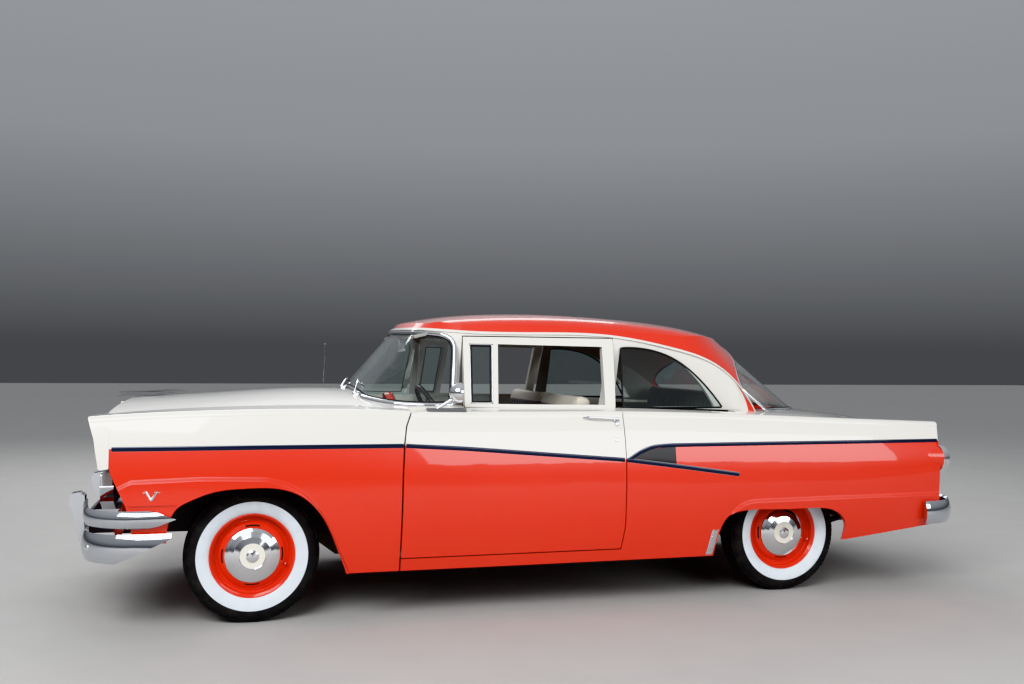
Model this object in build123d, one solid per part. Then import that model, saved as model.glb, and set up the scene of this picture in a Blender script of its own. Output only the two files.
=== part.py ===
"""Two-door saloon car of the middle 1950s, full size, in millimetres.

While it is drawn, x runs rearwards from the front axle, y to the car's right
and z up from the road.  On export every piece moves forward so that x = 0
lies half way along the car.
"""
import os
from math import asin, cos, degrees, radians, sin

from build123d import *

os.makedirs("parts", exist_ok=True)

# Driving dimensions.
WHEELBASE = 2934
FRONT_OVERHANG = 881
REAR_OVERHANG = 1227
HALF_WIDTH = 964
TRACK_FRONT = 1473
TRACK_REAR = 1422
AXLE_TO_MIDDLE = (WHEELBASE + REAR_OVERHANG - FRONT_OVERHANG) / 2

TYRE_R = 328
TYRE_WIDTH = 186
BEAD_R = 196
RIM_R = 208
RIM_WIDTH = 146
HUBCAP_R = 132
KINGPIN_Y = 680
SPINDLE_R = 20
BEARING_GAP = 6
RUN_GAP = 0.5

SKIN_T = 16
DOOR_T = 80
COWL_T = 40
PILLAR_T = 40
PANEL_GAP = 6
FRONT_GAP = 8
FLARE_T = 7
DRIP_H, DRIP_OUT = 13, 9
BAR_DEPTH = 27
GLASS_T = 6
GLASS_SET = 10

# Body sections from nose to tail.
# x, sill z, sill y, waist y, waist z, shoulder y, shoulder z, rail y, rail z, crown z
BODY = [
    (-880, 240, 872, 905, 640, 862, 1001, 700, 1003, 1040),
    (-640, 240, 884, 926, 640, 876, 1024, 700, 1026, 1074),
    (-245, 240, 894, 940, 640, 886, 1041, 702, 1050, 1098),
    (367, 240, 902, 948, 640, 891, 1047, 705, 1060, 1128),
    (1000, 240, 905, 951, 640, 890, 1034, 760, 1052, 1092),
    (1900, 240, 905, 951, 640, 885, 1030, 780, 1044, 1060),
    (2700, 240, 900, 949, 640, 880, 1006, 760, 1014, 1030),
    (3300, 240, 888, 942, 640, 874, 980, 700, 984, 1006),
    (3700, 240, 868, 926, 660, 860, 964, 690, 938, 960),
    (4060, 240, 850, 905, 680, 840, 950, 680, 872, 890),
]
SHOULDER_R = 30

# Glasshouse outline in plan at two heights.
# z, nose x, front corner x, y, corner middle x, y, side start x, y, side middle x, y,
# side end x, y, rear corner middle x, y, rear corner x, y, tail x
GLASSHOUSE = [
    (1050, 466, 520, 560, 650, 700, 1000, 772, 1750, 792, 2640, 742, 2850, 660, 2985, 540, 3305),
    (1440, 798, 850, 430, 920, 550, 1077, 612, 1750, 634, 2380, 600, 2540, 540, 2640, 440, 2795),
]
GLASS_Z0, GLASS_Z1 = 940, 1620

# Roof sections.
# x, edge y, edge z, crown z
ROOF = [
    (600, 600, 1390, 1400),
    (800, 610, 1428, 1487),
    (1077, 622, 1446, 1543),
    (1450, 634, 1448, 1568),
    (1950, 632, 1436, 1560),
    (2300, 632, 1388, 1537),
    (2600, 640, 1315, 1494),
    (2860, 640, 1215, 1404),
    (3200, 640, 1060, 1230),
]
ROOF_EDGE_W, ROOF_EDGE_H = 135, 82

DRIP_LINE = [(560, 1476), (900, 1454), (1077, 1441), (1500, 1437), (1950, 1426), (2293, 1367),
             (2504, 1308), (2683, 1199), (2760, 1090), (2791, 990)]

# Openings in the side, x and z.
HINGE_X, HINGE_Y, HINGE_R = 800, 930, 6
HINGE_HEIGHTS = [(560, 590), (700, 730)]
DOOR_FRONT = [(715, 306), (718, 500), (721, 708), (729, 865), (742, 960), (768, 1026)]
DOOR_TOP = [(1040, 1046), (1068, 1056), (1088, 1420)]
DOOR_BOTTOM = 306
DOOR_SWEEP = [(1086, 306), (1103, 420), (1106, 1000), (1110, 1042), (1114, 1060), (1178, 1420)]
DOOR_WINDOW = [(1098, 1066), (1119, 1384), (1872, 1374), (1846, 1058)]
VENT_BAR = [(1220, 1056), (1250, 1390), (1276, 1390), (1246, 1056)]
QUARTER_WINDOW_LOW = [(2570, 1040), (1949, 1040), (1988, 1371)]
QUARTER_WINDOW_ARC = [(1988, 1371), (2143, 1366), (2318, 1309), (2465, 1187), (2570, 1040)]
WINDSHIELD_REAR = [(1012, 900), (1012, 1050), (1044, 1290), (1051, 1350), (1051, 1376), (1044, 1399),
                   (1029, 1419),
                   (1006, 1434), (975, 1443)]
REAR_WINDOW_EDGE = [(2756, 1444), (2796, 1400), (2808, 1350), (2782, 1288), (2744, 1232), (2734, 1170),
                    (2760, 1104),
                    (2810, 1044), (2862, 990)]
FRONT_ARCH = [(-395, 470), (-378, 542), (-345, 592), (-297, 620), (-180, 662), (-42, 675),
              (119, 669), (222, 631), (316, 539), (402, 357), (446, 240), (460, 180)]
REAR_ARCH = [(2425, 180), (2438, 260), (2464, 384), (2505, 455), (2616, 489), (2842, 487),
             (3073, 487), (3176, 465), (3243, 400), (3239, 296), (3238, 180)]
FRONT_CREASE = [(-562, 640), (-552, 706), (-500, 717), (-240, 722), (58, 714), (160, 686), (243, 634),
                (312, 556), (362, 462), (462, 246), (470, 200), (-350, 200), (-350, 604), (-562, 604)]
REAR_CREASE = [(2442, 200), (2452, 290), (2478, 396), (2526, 472), (2580, 514), (2645, 536), (3217, 541),
               (3950, 541), (3950, 200)]
FENDER_NOSE = [(-655, 1100), (-655, 790), (-648, 756), (-576, 597), (-540, 430)]
VISOR_NOSE = [(-746, 1100), (-752, 1009), (-724, 915), (-700, 776)]
HOOD_NOSE = [(-690, 1000), (-684, 1018), (-660, 1050), (-612, 1078), (-560, 1110)]
TAIL_EDGE = [(3905, 1100), (3919, 940), (3896, 858), (3888, 700), (3882, 480), (3850, 240)]
DECK_TAIL = [(3700, 1100), (3830, 1040), (3925, 905), (3985, 820), (4002, 730), (3990, 560),
             (3960, 380)]

HOOD_Y = 700
HOOD_REAR = [(596, 700), (560, 560), (490, 300), (462, 0)]
HOOD_AXIS_X, HOOD_AXIS_Z = 600, 1136
COWL_X, COWL_Y = 604, 776
LID_Y = 640
LID_FRONT = 3420
LID_BOTTOM = 560
LID_AXIS_X, LID_AXIS_Z = 3418, 1012

LAMP_Y, LAMP_Z, LAMP_R = 782, 890, 92
GRILLE_LOW, GRILLE_TOP, GRILLE_TOP_Y = 575, 905, 640
CELL_W, CELL_H, CELLS_ACROSS, CELLS_DOWN = 74, 44, 23, 9
TAIL_LAMP_Y, TAIL_LAMP_Z, TAIL_LAMP_R = 848, 742, 76
PLATE_HOLE_Y, PLATE_Z, PLATE_HOLE_R = 89, 530, 4

FRAME_IN, FRAME_OUT = 370, 450
FRONT_IRON_X, REAR_IRON_X = -790, 4082
PIPE_R = 26
PIPE_PATH = [(250, -240, 430), (500, -240, 296), (1500, -240, 290), (2250, -240, 300), (2560, -270, 440),
             (3240, -270, 450), (3560, -300, 330), (3990, -300, 300)]
FLOOR_Z = 372
FLOOR_T = 18
FIREWALL_X = 500
TUNNEL_OUT = [(-140, 372), (-140, 390), (-110, 590), (110, 590), (140, 390), (140, 372)]
TUNNEL_IN = [(122, 372), (122, 388), (98, 574), (-98, 574), (-122, 388), (-122, 372)]
APRON_Y = 462

STEER_X, STEER_Y, STEER_Z, STEER_TILT = 1000, 370, 958, 30
STEER_R = 216


def move_out(shape, name):
    """Shift a finished piece to the shared frame and write it."""
    piece = Pos(-AXLE_TO_MIDDLE, 0, 0) * shape
    piece.label = name
    export_step(piece, f"parts/{name}.step")


def block(x0, x1, y0, y1, z0, z1):
    return Pos((x0 + x1) / 2, (y0 + y1) / 2, (z0 + z1) / 2) * Box(x1 - x0, y1 - y0, z1 - z0)


def outline(edges_or_points, to3):
    points = [to3(*p) for p in edges_or_points]
    return Wire.make_polygon(points, close=True)


def side_prism(points, y0, y1):
    """Solid with the given x, z outline between two widths."""
    face = Face(outline(points, lambda x, z: Vector(x, y0, z)))
    return extrude(face, amount=abs(y1 - y0), dir=(0, 1 if y1 > y0 else -1, 0))


def plan_prism(points, z0, z1):
    face = Face(outline(points, lambda x, y: Vector(x, y, z0)))
    return extrude(face, amount=z1 - z0, dir=(0, 0, 1))


def front_prism(points, x0, x1):
    face = Face(outline(points, lambda y, z: Vector(x0, y, z)))
    return extrude(face, amount=x1 - x0, dir=(1, 0, 0))


def curved_side_prism(curve, closing, y0, y1):
    """Outline of a smooth curve in x, z closed by straight lines through more points."""
    ends = [curve[-1]] + list(closing) + [curve[0]]
    edges = [Spline(*[Vector(x, y0, z) for x, z in curve])]
    edges += [Line(Vector(a[0], y0, a[1]), Vector(b[0], y0, b[1])) for a, b in zip(ends, ends[1:])]
    return extrude(Face(Wire(edges)), amount=abs(y1 - y0), dir=(0, 1 if y1 > y0 else -1, 0))


def rod(start, end, radius):
    a, b = Vector(*start), Vector(*end)
    return extrude(Plane(origin=a, z_dir=b - a) * Circle(radius), amount=(b - a).length)


def both(shape):
    return shape + mirror(shape, about=Plane.XZ)


def right_of(shape):
    return mirror(shape, about=Plane.XZ)


def lathe_y(profile, x, y, z, side):
    """Turn an outline of axial distance and radius about a cross axis; side -1 faces left."""
    points = [Vector(0, a, r) for a, r in profile]
    face = Face(Wire.make_polygon(points, close=True))
    solid = revolve(face, axis=Axis((0, 0, 0), (0, 1, 0)), revolution_arc=360)
    if side < 0:
        solid = mirror(solid, about=Plane.XZ)
    return Pos(x, y, z) * solid


def body_section(row, inset=0, drop=0):
    x, sill_z, sill_y, waist_y, waist_z, shoulder_y, shoulder_z, rail_y, rail_z, crown_z = row
    sill_y, waist_y, shoulder_y, rail_y = (v - inset for v in (sill_y, waist_y, shoulder_y, rail_y))
    shoulder_z, rail_z, crown_z = shoulder_z - inset, rail_z - inset, crown_z - inset
    r = SHOULDER_R
    sill, waist = (sill_y, sill_z), (waist_y, waist_z)
    low, top = (shoulder_y, shoulder_z - r), (shoulder_y - r, shoulder_z)
    rail = (rail_y, rail_z)
    bend1 = (sill_y + (waist_y - sill_y) * 0.78, (sill_z + waist_z) / 2)
    bend2 = (shoulder_y + (waist_y - shoulder_y) * 0.76, (waist_z + shoulder_z - r) / 2)
    bend3 = (shoulder_y - r * 0.293, shoulder_z - r * 0.293)

    def at(p, s=1):
        return Vector(x, s * p[0], p[1])

    edges = [Line(at(sill, -1), at(sill))]
    if drop:
        base = (sill_y, sill_z - drop)
        edges = [Line(at(sill, -1), at(base, -1)), Line(at(base, -1), at(base)), Line(at(base), at(sill))]
    edges += [ThreePointArc(at(sill), at(bend1), at(waist)),
             ThreePointArc(at(waist), at(bend2), at(low)),
             ThreePointArc(at(low), at(bend3), at(top)),
             Line(at(top), at(rail)),
             ThreePointArc(at(rail), Vector(x, 0, crown_z), at(rail, -1)),
             Line(at(rail, -1), at(top, -1)),
             ThreePointArc(at(top, -1), at(bend3, -1), at(low, -1)),
             ThreePointArc(at(low, -1), at(bend2, -1), at(waist, -1)),
             ThreePointArc(at(waist, -1), at(bend1, -1), at(sill, -1))]
    return Face(Wire(edges))


def body_volume(inset=0, drop=0):
    return loft([body_section(row, inset, drop) for row in BODY])


def glass_section(z, inset=0):
    """Plan outline of the glasshouse at any height, straight between the two rows."""
    low, high = GLASSHOUSE
    t = (z - low[0]) / (high[0] - low[0])
    (nose, fx, fy, mx, my, sx, sy, cx, cy, ex, ey, rmx, rmy, rx, ry, tail) = (
        a + (b - a) * t for a, b in zip(low[1:], high[1:]))
    i, d = inset, inset * 0.7
    nose, fx, mx = nose + i, fx + i, mx + d
    tail, rx, rmx = tail - i, rx - i * 0.9, rmx - d
    fy, my, sy, cy, ey, rmy, ry = fy - i * 0.3, my - d, sy - i, cy - i, ey - i, rmy - d, ry - i * 0.4
    p = lambda x, y: Vector(x, y, z)
    edges = [ThreePointArc(p(fx, -fy), p(nose, 0), p(fx, fy)),
             ThreePointArc(p(fx, fy), p(mx, my), p(sx, sy)),
             ThreePointArc(p(sx, sy), p(cx, cy), p(ex, ey)),
             ThreePointArc(p(ex, ey), p(rmx, rmy), p(rx, ry)),
             ThreePointArc(p(rx, ry), p(tail, 0), p(rx, -ry)),
             ThreePointArc(p(rx, -ry), p(rmx, -rmy), p(ex, -ey)),
             ThreePointArc(p(ex, -ey), p(cx, -cy), p(sx, -sy)),
             ThreePointArc(p(sx, -sy), p(mx, -my), p(fx, -fy))]
    return Face(Wire(edges))


def glass_volume(inset=0, z0=GLASS_Z0, z1=GLASS_Z1):
    return loft([glass_section(z0, inset), glass_section(z1, inset)], ruled=True)


def roof_volume(inset=0):
    faces = []
    for x, edge_y, edge_z, crown_z in ROOF:
        y, z, c = edge_y + 4 - inset, edge_z - inset, crown_z - inset
        w, h = ROOF_EDGE_W, ROOF_EDGE_H * (crown_z - edge_z) / 122
        inner = (y - w, z + h)
        bend = (y - w * 0.34, z + h * 0.72)
        p = lambda yy, zz: Vector(x, yy, zz)
        edges = [Line(p(-y, 850), p(y, 850)), Line(p(y, 850), p(y, z)),
                 ThreePointArc(p(y, z), p(*bend), p(*inner)),
                 ThreePointArc(p(*inner), p(0, c), p(-inner[0], inner[1])),
                 ThreePointArc(p(-inner[0], inner[1]), p(-bend[0], bend[1]), p(-y, z)),
                 Line(p(-y, z), p(-y, 850))]
        faces.append(Face(Wire(edges)))
    return loft(faces)


# Master volumes that the sheet panels are cut from.
body_out = body_volume()
body_skin = body_out - body_volume(SKIN_T, 300)
body_wall = body_out - body_volume(DOOR_T, 300)
body_cowl = body_out - body_volume(COWL_T, 300)
glass_out = glass_volume()
glass_in = glass_volume(PILLAR_T)
glass_pane = glass_volume(GLASS_SET) - glass_volume(GLASS_SET + GLASS_T)
roof_out = roof_volume()
roof_in = roof_volume(SKIN_T + 10)
greenhouse = (glass_out & roof_out) - (glass_in & roof_in) - body_out

LEFT = -1100
door_line = DOOR_FRONT + DOOR_TOP
fore_of_door = side_prism([(-1200, 100), (DOOR_FRONT[0][0] - FRONT_GAP, 100)]
                          + [(x - FRONT_GAP, z) for x, z in DOOR_FRONT]
                          + [(DOOR_FRONT[-1][0] - FRONT_GAP, 1300), (-1200, 1300)], LEFT, -LEFT)


def door_shape(gap, y_in):
    """Volume the left door fills, grown by a gap; its rear face turns about the hinge."""
    low = [(x - gap, z) for x, z in DOOR_FRONT]
    low[0] = (low[0][0], DOOR_BOTTOM - gap)
    top = [(x - gap, z + (gap if z > 1400 else -gap if z < 1050 else 0)) for x, z in DOOR_TOP]
    side = side_prism(low + top + [(2150, 1420 + gap), (2150, DOOR_BOTTOM - gap)], LEFT, y_in)
    sweep_points = [(0, DOOR_BOTTOM - 40)] + [(DOOR_SWEEP[0][0] + gap, DOOR_BOTTOM - 40)]
    sweep_points += [(r + gap, z) for r, z in DOOR_SWEEP] + [(DOOR_SWEEP[-1][0] + gap, 1460), (0, 1460)]
    face = Face(Wire.make_polygon([Vector(r, 0, z) for r, z in sweep_points], close=True))
    swept = Pos(HINGE_X, -HINGE_Y, 0) * revolve(face, axis=Axis.Z, revolution_arc=360)
    return side & (swept + block(HINGE_X - 190, HINGE_X + 300, LEFT, y_in, DOOR_BOTTOM - 40, 1460))


# Chassis frame.
rail_side = [(-640, 400), (-640, 480), (-430, 500), (300, 500), (498, 370), (2362, 370),
             (2640, 600), (3230, 600), (3480, 470), (3880, 470), (3880, 390), (3440, 390),
             (3190, 510), (2680, 510), (2400, 250), (440, 250), (240, 400)]
frame = both(side_prism(rail_side, FRAME_IN, FRAME_OUT))
for x0, x1, z0, z1 in [(-640, -590, 400, 480), (-60, 60, 400, 440), (1000, 1080, 270, 350),
                       (2260, 2330, 255, 312), (3300, 3360, 450, 500), (3820, 3880, 390, 470)]:
    frame += block(x0, x1, -FRAME_IN - 5, FRAME_IN + 5, z0, z1)
for x in (620, 1500, 2130):
    frame += both(block(x, x + 60, FRAME_OUT - 5, 800, 300, 350))
for x in (700, 2000):
    frame += both(block(x, x + 90, FRAME_OUT - 5, 826, 262, 300))
for x0, x1 in ((FRONT_IRON_X, -636), (3876, REAR_IRON_X)):
    frame += both(block(x0, x1, FRAME_IN + 10, FRAME_OUT - 10, 405, 465))


def pipe(radius):
    """Exhaust run from the manifold, under the floor and over the axle."""
    run = None
    for a, b in zip(PIPE_PATH, PIPE_PATH[1:]):
        leg = rod(a, b, radius) + Pos(*b) * Sphere(radius)
        run = leg if run is None else run + leg
    return run


frame -= pipe(PIPE_R + 8)
move_out(frame, "chassis_frame")

# Engine, gearbox and radiator.
engine = block(-430, 230, -190, 190, 455, 700)
engine += both(front_prism([(60, 560), (190, 560), (330, 760), (230, 860), (60, 720)], -400, 200))
engine += block(-300, 60, -90, 90, 700, 880)
engine += Pos(-120, 0, 915) * Cylinder(165, 70)
engine += front_prism([(-190, 440), (190, 440), (190, 650), (90, 700), (-90, 700), (-190, 650)], 225, 400)
engine += block(395, 860, -88, 88, 405, 555)
engine += both(block(-120, 40, 185, FRAME_IN, 460, 490))
engine += block(-480, -425, -60, 60, 500, 620)
move_out(engine, "engine")

radiator = block(-575, -515, -330, 330, 485, 970) + Pos(-545, 0, 985) * Cylinder(34, 40)
radiator += both(block(-584, -535, 325, 452, 510, 900))
move_out(radiator, "radiator")

# Rear axle, springs, drive shaft, exhaust and tank.
axle = rod((WHEELBASE, -642, TYRE_R), (WHEELBASE, 642, TYRE_R), 40)
axle += Pos(WHEELBASE, 0, TYRE_R) * Sphere(125)
axle += rod((WHEELBASE - 192, 0, TYRE_R + 8), (WHEELBASE, 0, TYRE_R + 8), 52)
axle += both(rod((WHEELBASE, 640, TYRE_R), (WHEELBASE, 748, TYRE_R), SPINDLE_R))
axle += both(rod((WHEELBASE, 600, TYRE_R), (WHEELBASE, 618, TYRE_R), 118))
move_out(axle, "rear_axle")

springs = None
for side in (-1, 1):
    y0, y1 = sorted((side * 470, side * 530))
    leaf = side_prism([(2250, 330), (2600, 288), (2934, 262), (3300, 300), (3600, 372), (3600, 388),
                       (3300, 318), (2934, 288), (2600, 306), (2250, 348)], y0, y1)
    leaf += block(2850, 3018, y0, y1, 255, 312)
    leaf += block(2240, 2275, side * 450 if side > 0 else -530, side * 530 if side > 0 else -450, 300, 352)
    leaf += block(3585, 3625, side * 450 if side > 0 else -530, side * 530 if side > 0 else -450, 372, 440)
    leaf -= rod((WHEELBASE, -640, TYRE_R), (WHEELBASE, 640, TYRE_R), 40)
    springs = leaf if springs is None else springs + leaf
move_out(springs, "leaf_springs")

shaft = rod((925, 0, 470), (WHEELBASE - 240, 0, TYRE_R + 8), 36)
shaft += rod((860, 0, 470), (932, 0, 470), 48)
shaft += rod((WHEELBASE - 260, 0, TYRE_R + 8), (WHEELBASE - 192, 0, TYRE_R + 8), 48)
move_out(shaft, "propeller_shaft")

exhaust = pipe(PIPE_R)
exhaust += extrude(Plane(origin=(1160, -240, 292), x_dir=(0, 1, 0), z_dir=(1, 0, 0)) * Ellipse(105, 66),
                   amount=560)
move_out(exhaust, "exhaust")

tank = fillet(block(3385, 3800, -110, 350, 285, 452).edges().filter_by(Axis.Y), 40)
tank += block(3450, 3480, -60, 300, 445, 510)
move_out(tank, "fuel_tank")

# Front suspension and steering knuckles.
ARM_LOW, ARM_HIGH = TYRE_R - 130, TYRE_R + 130
susp = block(-90, 90, -FRAME_IN - 10, FRAME_IN + 10, 300, 400)
susp += both(block(-90, 90, FRAME_IN - 5, FRAME_OUT + 20, 190, 400))
susp += both(block(-70, 70, FRAME_OUT, FRAME_OUT + 12, 395, 520))
for z, reach, z_in in ((ARM_LOW, 120, 200), (ARM_HIGH, 90, 470)):
    arm = plan_prism([(-reach, FRAME_OUT + 5), (reach, FRAME_OUT + 5), (34, KINGPIN_Y + 30),
                      (-34, KINGPIN_Y + 30)], z - 13, z + 13)
    arm -= plan_prism([(-reach * 0.45, FRAME_OUT + 30), (reach * 0.45, FRAME_OUT + 30),
                       (8, KINGPIN_Y - 62), (-8, KINGPIN_Y - 62)], z - 14, z + 14)
    arm -= Pos(0, KINGPIN_Y, z) * Cylinder(12 + RUN_GAP, 40)
    susp += both(arm)
susp += both(Pos(0, 500, 330) * Cylinder(46, 240))
move_out(susp, "front_suspension")


def knuckle(side):
    low, high = ARM_LOW + 13 + BEARING_GAP, ARM_HIGH - 13 - BEARING_GAP
    part = block(-26, 26, KINGPIN_Y - 26, KINGPIN_Y + 26, low, high)
    part += Pos(0, KINGPIN_Y, (low + high) / 2) * Cylinder(12, high - low + 50)
    part += rod((0, KINGPIN_Y, TYRE_R), (0, TRACK_FRONT / 2 + 38, TYRE_R), SPINDLE_R)
    part += rod((0, KINGPIN_Y + 18, TYRE_R), (0, KINGPIN_Y + 27, TYRE_R), 60)
    part += side_prism([(0, 240), (150, 228), (150, 250), (0, 275)], KINGPIN_Y - 26, KINGPIN_Y - 2)
    return part if side > 0 else right_of(part)


move_out(knuckle(-1), "knuckle_left")
move_out(knuckle(1), "knuckle_right")

# Wheels: tyre, rim and hub cap at four corners.
W = TYRE_WIDTH / 2
TYRE_PROFILE = [(-58, RIM_R), (-72, RIM_R + 4), (-W + 6, 238), (-W, 268), (-W + 8, 300), (-W + 22, 318),
                (-40, TYRE_R - 1), (40, TYRE_R - 1), (W - 22, 318), (W - 8, 300), (W, 268),
                (W - 6, 238), (72, RIM_R + 4), (58, RIM_R), (58, BEAD_R + 4), (-58, BEAD_R + 4)]
R = RIM_WIDTH / 2
RIM_PROFILE = [(-R, RIM_R), (-R, RIM_R - 8), (-R + 12, BEAD_R - 6), (-30, BEAD_R - 8), (-20, 172), (6, 172),
               (14, 160), (34, 148), (42, 138), (44, 118), (36, 104), (30, 84), (28, 46), (-22, 46),
               (-22, SPINDLE_R + RUN_GAP), (70, SPINDLE_R + RUN_GAP), (70, 46), (40, 46), (38, 84),
               (46, 104), (56, 120), (54, 140),
               (42, 156), (24, 168), (20, 180), (34, BEAD_R - 8), (R - 12, BEAD_R - 6), (R, RIM_R - 8),
               (R, RIM_R), (R - 6, RIM_R), (R - 12, BEAD_R + 3), (R - 15, BEAD_R + 3),
               (-R + 15, BEAD_R + 3), (-R + 12, BEAD_R + 3), (-R + 6, RIM_R)]
CAP_PROFILE = [(56, HUBCAP_R - 8), (58, HUBCAP_R), (62, HUBCAP_R), (70, 118), (80, 92), (86, 64), (84, 61),
               (84, 34), (88, 30), (92, 22), (94, 0.01), (88, 0.01), (84, 20), (80, 28), (80, 60),
               (74, 88), (64, 112)]
CORNERS = [
    # name, x, half track, side
    ("front_left", 0, TRACK_FRONT / 2, -1),
    ("front_right", 0, TRACK_FRONT / 2, 1),
    ("rear_left", WHEELBASE, TRACK_REAR / 2, -1),
    ("rear_right", WHEELBASE, TRACK_REAR / 2, 1),
]
for name, x, half_track, side in CORNERS:
    y = side * half_track
    tyre_tread = lathe_y([(a, min(r + 1, TYRE_R)) if r > 320 else (a, r) for a, r in TYRE_PROFILE],
                         x, y, TYRE_R, side)
    move_out(tyre_tread, f"tyre_{name}")
    rim = lathe_y(RIM_PROFILE, x, y, TYRE_R, side)
    move_out(rim, f"rim_{name}")
    move_out(lathe_y(CAP_PROFILE, x, y, TYRE_R, side), f"hubcap_{name}")

# Front fenders.
front_arch = curved_side_prism(FRONT_ARCH, [(460, 60), (-395, 60)], LEFT, -LEFT)
flare = (body_volume(-FLARE_T) - body_out) & block(-700, 4200, LEFT, -700, 236, 700)
nose_cut = side_prism([(-1200, 1300)] + [(FENDER_NOSE[0][0] + 0.5, 1300)]
                      + [(x + 0.5, z) for x, z in FENDER_NOSE] + [(-395, 425), (-395, 100), (-1200, 100)],
                      LEFT, -LEFT)
fender = (body_skin & fore_of_door & block(-1000, 900, LEFT, -HOOD_Y - PANEL_GAP / 2, 200, 1200))
fender = fender + (flare & side_prism(FRONT_CREASE, LEFT, -700))
fender = fender - nose_cut - front_arch
fender = fender - block(COWL_X, 900, -COWL_Y, -500, 900, 1300)
move_out(fender, "fender_front_left")
move_out(right_of(fender), "fender_front_right")

# Headlamp housings and the bar that joins them.
visor = side_prism([(-655, 1100)] + VISOR_NOSE + [(-690, 772), (-655, 776)], LEFT, -GRILLE_TOP_Y - 6)
housing = body_out & visor
housing -= rod((-800, -LAMP_Y, LAMP_Z), (-600, -LAMP_Y, LAMP_Z), LAMP_R + 2)
housing += rod((-690, -LAMP_Y, LAMP_Z), (-656, -LAMP_Y, LAMP_Z), LAMP_R + 8) - rod(
    (-700, -LAMP_Y, LAMP_Z), (-652, -LAMP_Y, LAMP_Z), LAMP_R + 2)
housing -= block(-800, -600, -HOOD_Y - PANEL_GAP / 2, 0, 992, 1200)
header = block(-678, -640, -GRILLE_TOP_Y - 20, GRILLE_TOP_Y + 20, GRILLE_TOP + 16, 996) & body_out
front_panel = both(housing) + header
move_out(front_panel, "headlamp_panel")

lens_dome = Pos(-520, -LAMP_Y, LAMP_Z) * Sphere(208) & rod(
    (-760, -LAMP_Y, LAMP_Z), (-682, -LAMP_Y, LAMP_Z), LAMP_R + 2)
lens_dome += rod((-690, -LAMP_Y, LAMP_Z), (-653, -LAMP_Y, LAMP_Z), LAMP_R - 14)
move_out(both(lens_dome), "headlamps")

# Grille: a cellular casting in a chrome frame.
outer = [(-700, GRILLE_LOW), (700, GRILLE_LOW), (790, 618), (812, 680), (778, 734), (686, 746),
         (GRILLE_TOP_Y - 16, 800), (590, GRILLE_TOP), (-590, GRILLE_TOP), (16 - GRILLE_TOP_Y, 800),
         (-686, 746), (-778, 734), (-812, 680), (-790, 618)]
with BuildPart() as grille_part:
    with BuildSketch(Plane(origin=(-676, 0, 0), x_dir=(0, 1, 0), z_dir=(1, 0, 0))) as cells:
        with BuildLine():
            Polyline(*outer, close=True)
        make_face()
        with Locations((0, (GRILLE_LOW + GRILLE_TOP) / 2)):
            with GridLocations(CELL_W, CELL_H, CELLS_ACROSS, CELLS_DOWN):
                Rectangle(CELL_W - 7, CELL_H - 7, mode=Mode.SUBTRACT)
    extrude(amount=34)
grille = grille_part.part
with BuildPart() as surround_part:
    with BuildSketch(Plane(origin=(-700, 0, 0), x_dir=(0, 1, 0), z_dir=(1, 0, 0))) as ring:
        with BuildLine():
            Polyline(*outer, close=True)
        make_face()
        offset(amount=13)
        with BuildLine(mode=Mode.PRIVATE) as inner_line:
            Polyline(*outer, close=True)
        offset(make_face(inner_line.line, mode=Mode.PRIVATE), amount=-17, mode=Mode.SUBTRACT)
    extrude(amount=60)
grille += surround_part.part
grille += both(block(-642, -604, 300, 360, 486, 700))
grille -= front_panel
move_out(grille, "grille")

# Bumpers: pressed bars swept round the corners.
def wrap_bar(x_mid, knee_y, knee_set, x_end, y_side, low, high):
    """Right half of a bar: a shallow arc, a corner arc and a straight side, all tangent."""
    d = 1 if x_mid > 0 else -1
    mid, h, back = (low + high) / 2, (high - low) / 2, BAR_DEPTH
    r1 = (knee_y ** 2 + knee_set ** 2) / (2 * knee_set)
    turn = degrees(asin(knee_y / r1))
    r2 = (y_side - knee_y) / (1 - knee_y / r1)
    x1 = x_mid - d * r1
    x2, y2 = x1 + d * (r1 - r2) * cos(radians(turn)), knee_y - r2 * knee_y / r1

    def section(at):
        p = [at(-back, mid - h * 0.86), at(-back, mid + h * 0.86), at(-back * 0.6, mid + h),
             at(0, mid), at(-back * 0.6, mid - h)]
        return Face(Wire([Line(p[0], p[1]), Line(p[1], p[2]), ThreePointArc(p[2], p[3], p[4]),
                          Line(p[4], p[0])]))

    c, s = cos(radians(turn)), sin(radians(turn))
    front = revolve(section(lambda out, z: Vector(x_mid + d * out, 0, z)),
                    axis=Axis((x1, 0, 0), (0, 0, d)), revolution_arc=turn)
    bend = revolve(section(lambda out, z: Vector(x2 + d * (r2 + out) * c, y2 + (r2 + out) * s, z)),
                   axis=Axis((x2, y2, 0), (0, 0, d)), revolution_arc=90 - turn)
    side = extrude(section(lambda out, z: Vector(x2, y_side + out, z)), amount=abs(x_end - x2),
                   dir=(-d, 0, 0))
    return front + bend + side


lower = wrap_bar(-846, 740, 56, -372, HALF_WIDTH, 338, 474)
lower -= side_prism([(-640, 330), (-370, 452), (-300, 452), (-300, 200), (-640, 200)], 600, 1100)
upper = wrap_bar(-842, 740, 58, -350, HALF_WIDTH - 1, 500, 582) - block(-900, -700, -10, 430, 480, 600)
upper -= side_prism([(-560, 600), (-430, 572), (-350, 541), (-300, 541), (-300, 700), (-560, 700)],
                    600, 1100)
upper -= side_prism([(-560, 480), (-430, 510), (-350, 541), (-300, 541), (-300, 400), (-560, 400)],
                    600, 1100)
guard = side_prism([(-830, 372), (-881, 585), (-868, 612), (-830, 618), (-806, 600), (-800, 372)], 412, 486)
bumper = both(lower + upper + guard)
bumper += both(block(-822, FRONT_IRON_X, 385, 435, 400, 470))
move_out(bumper, "bumper_front")

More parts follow.
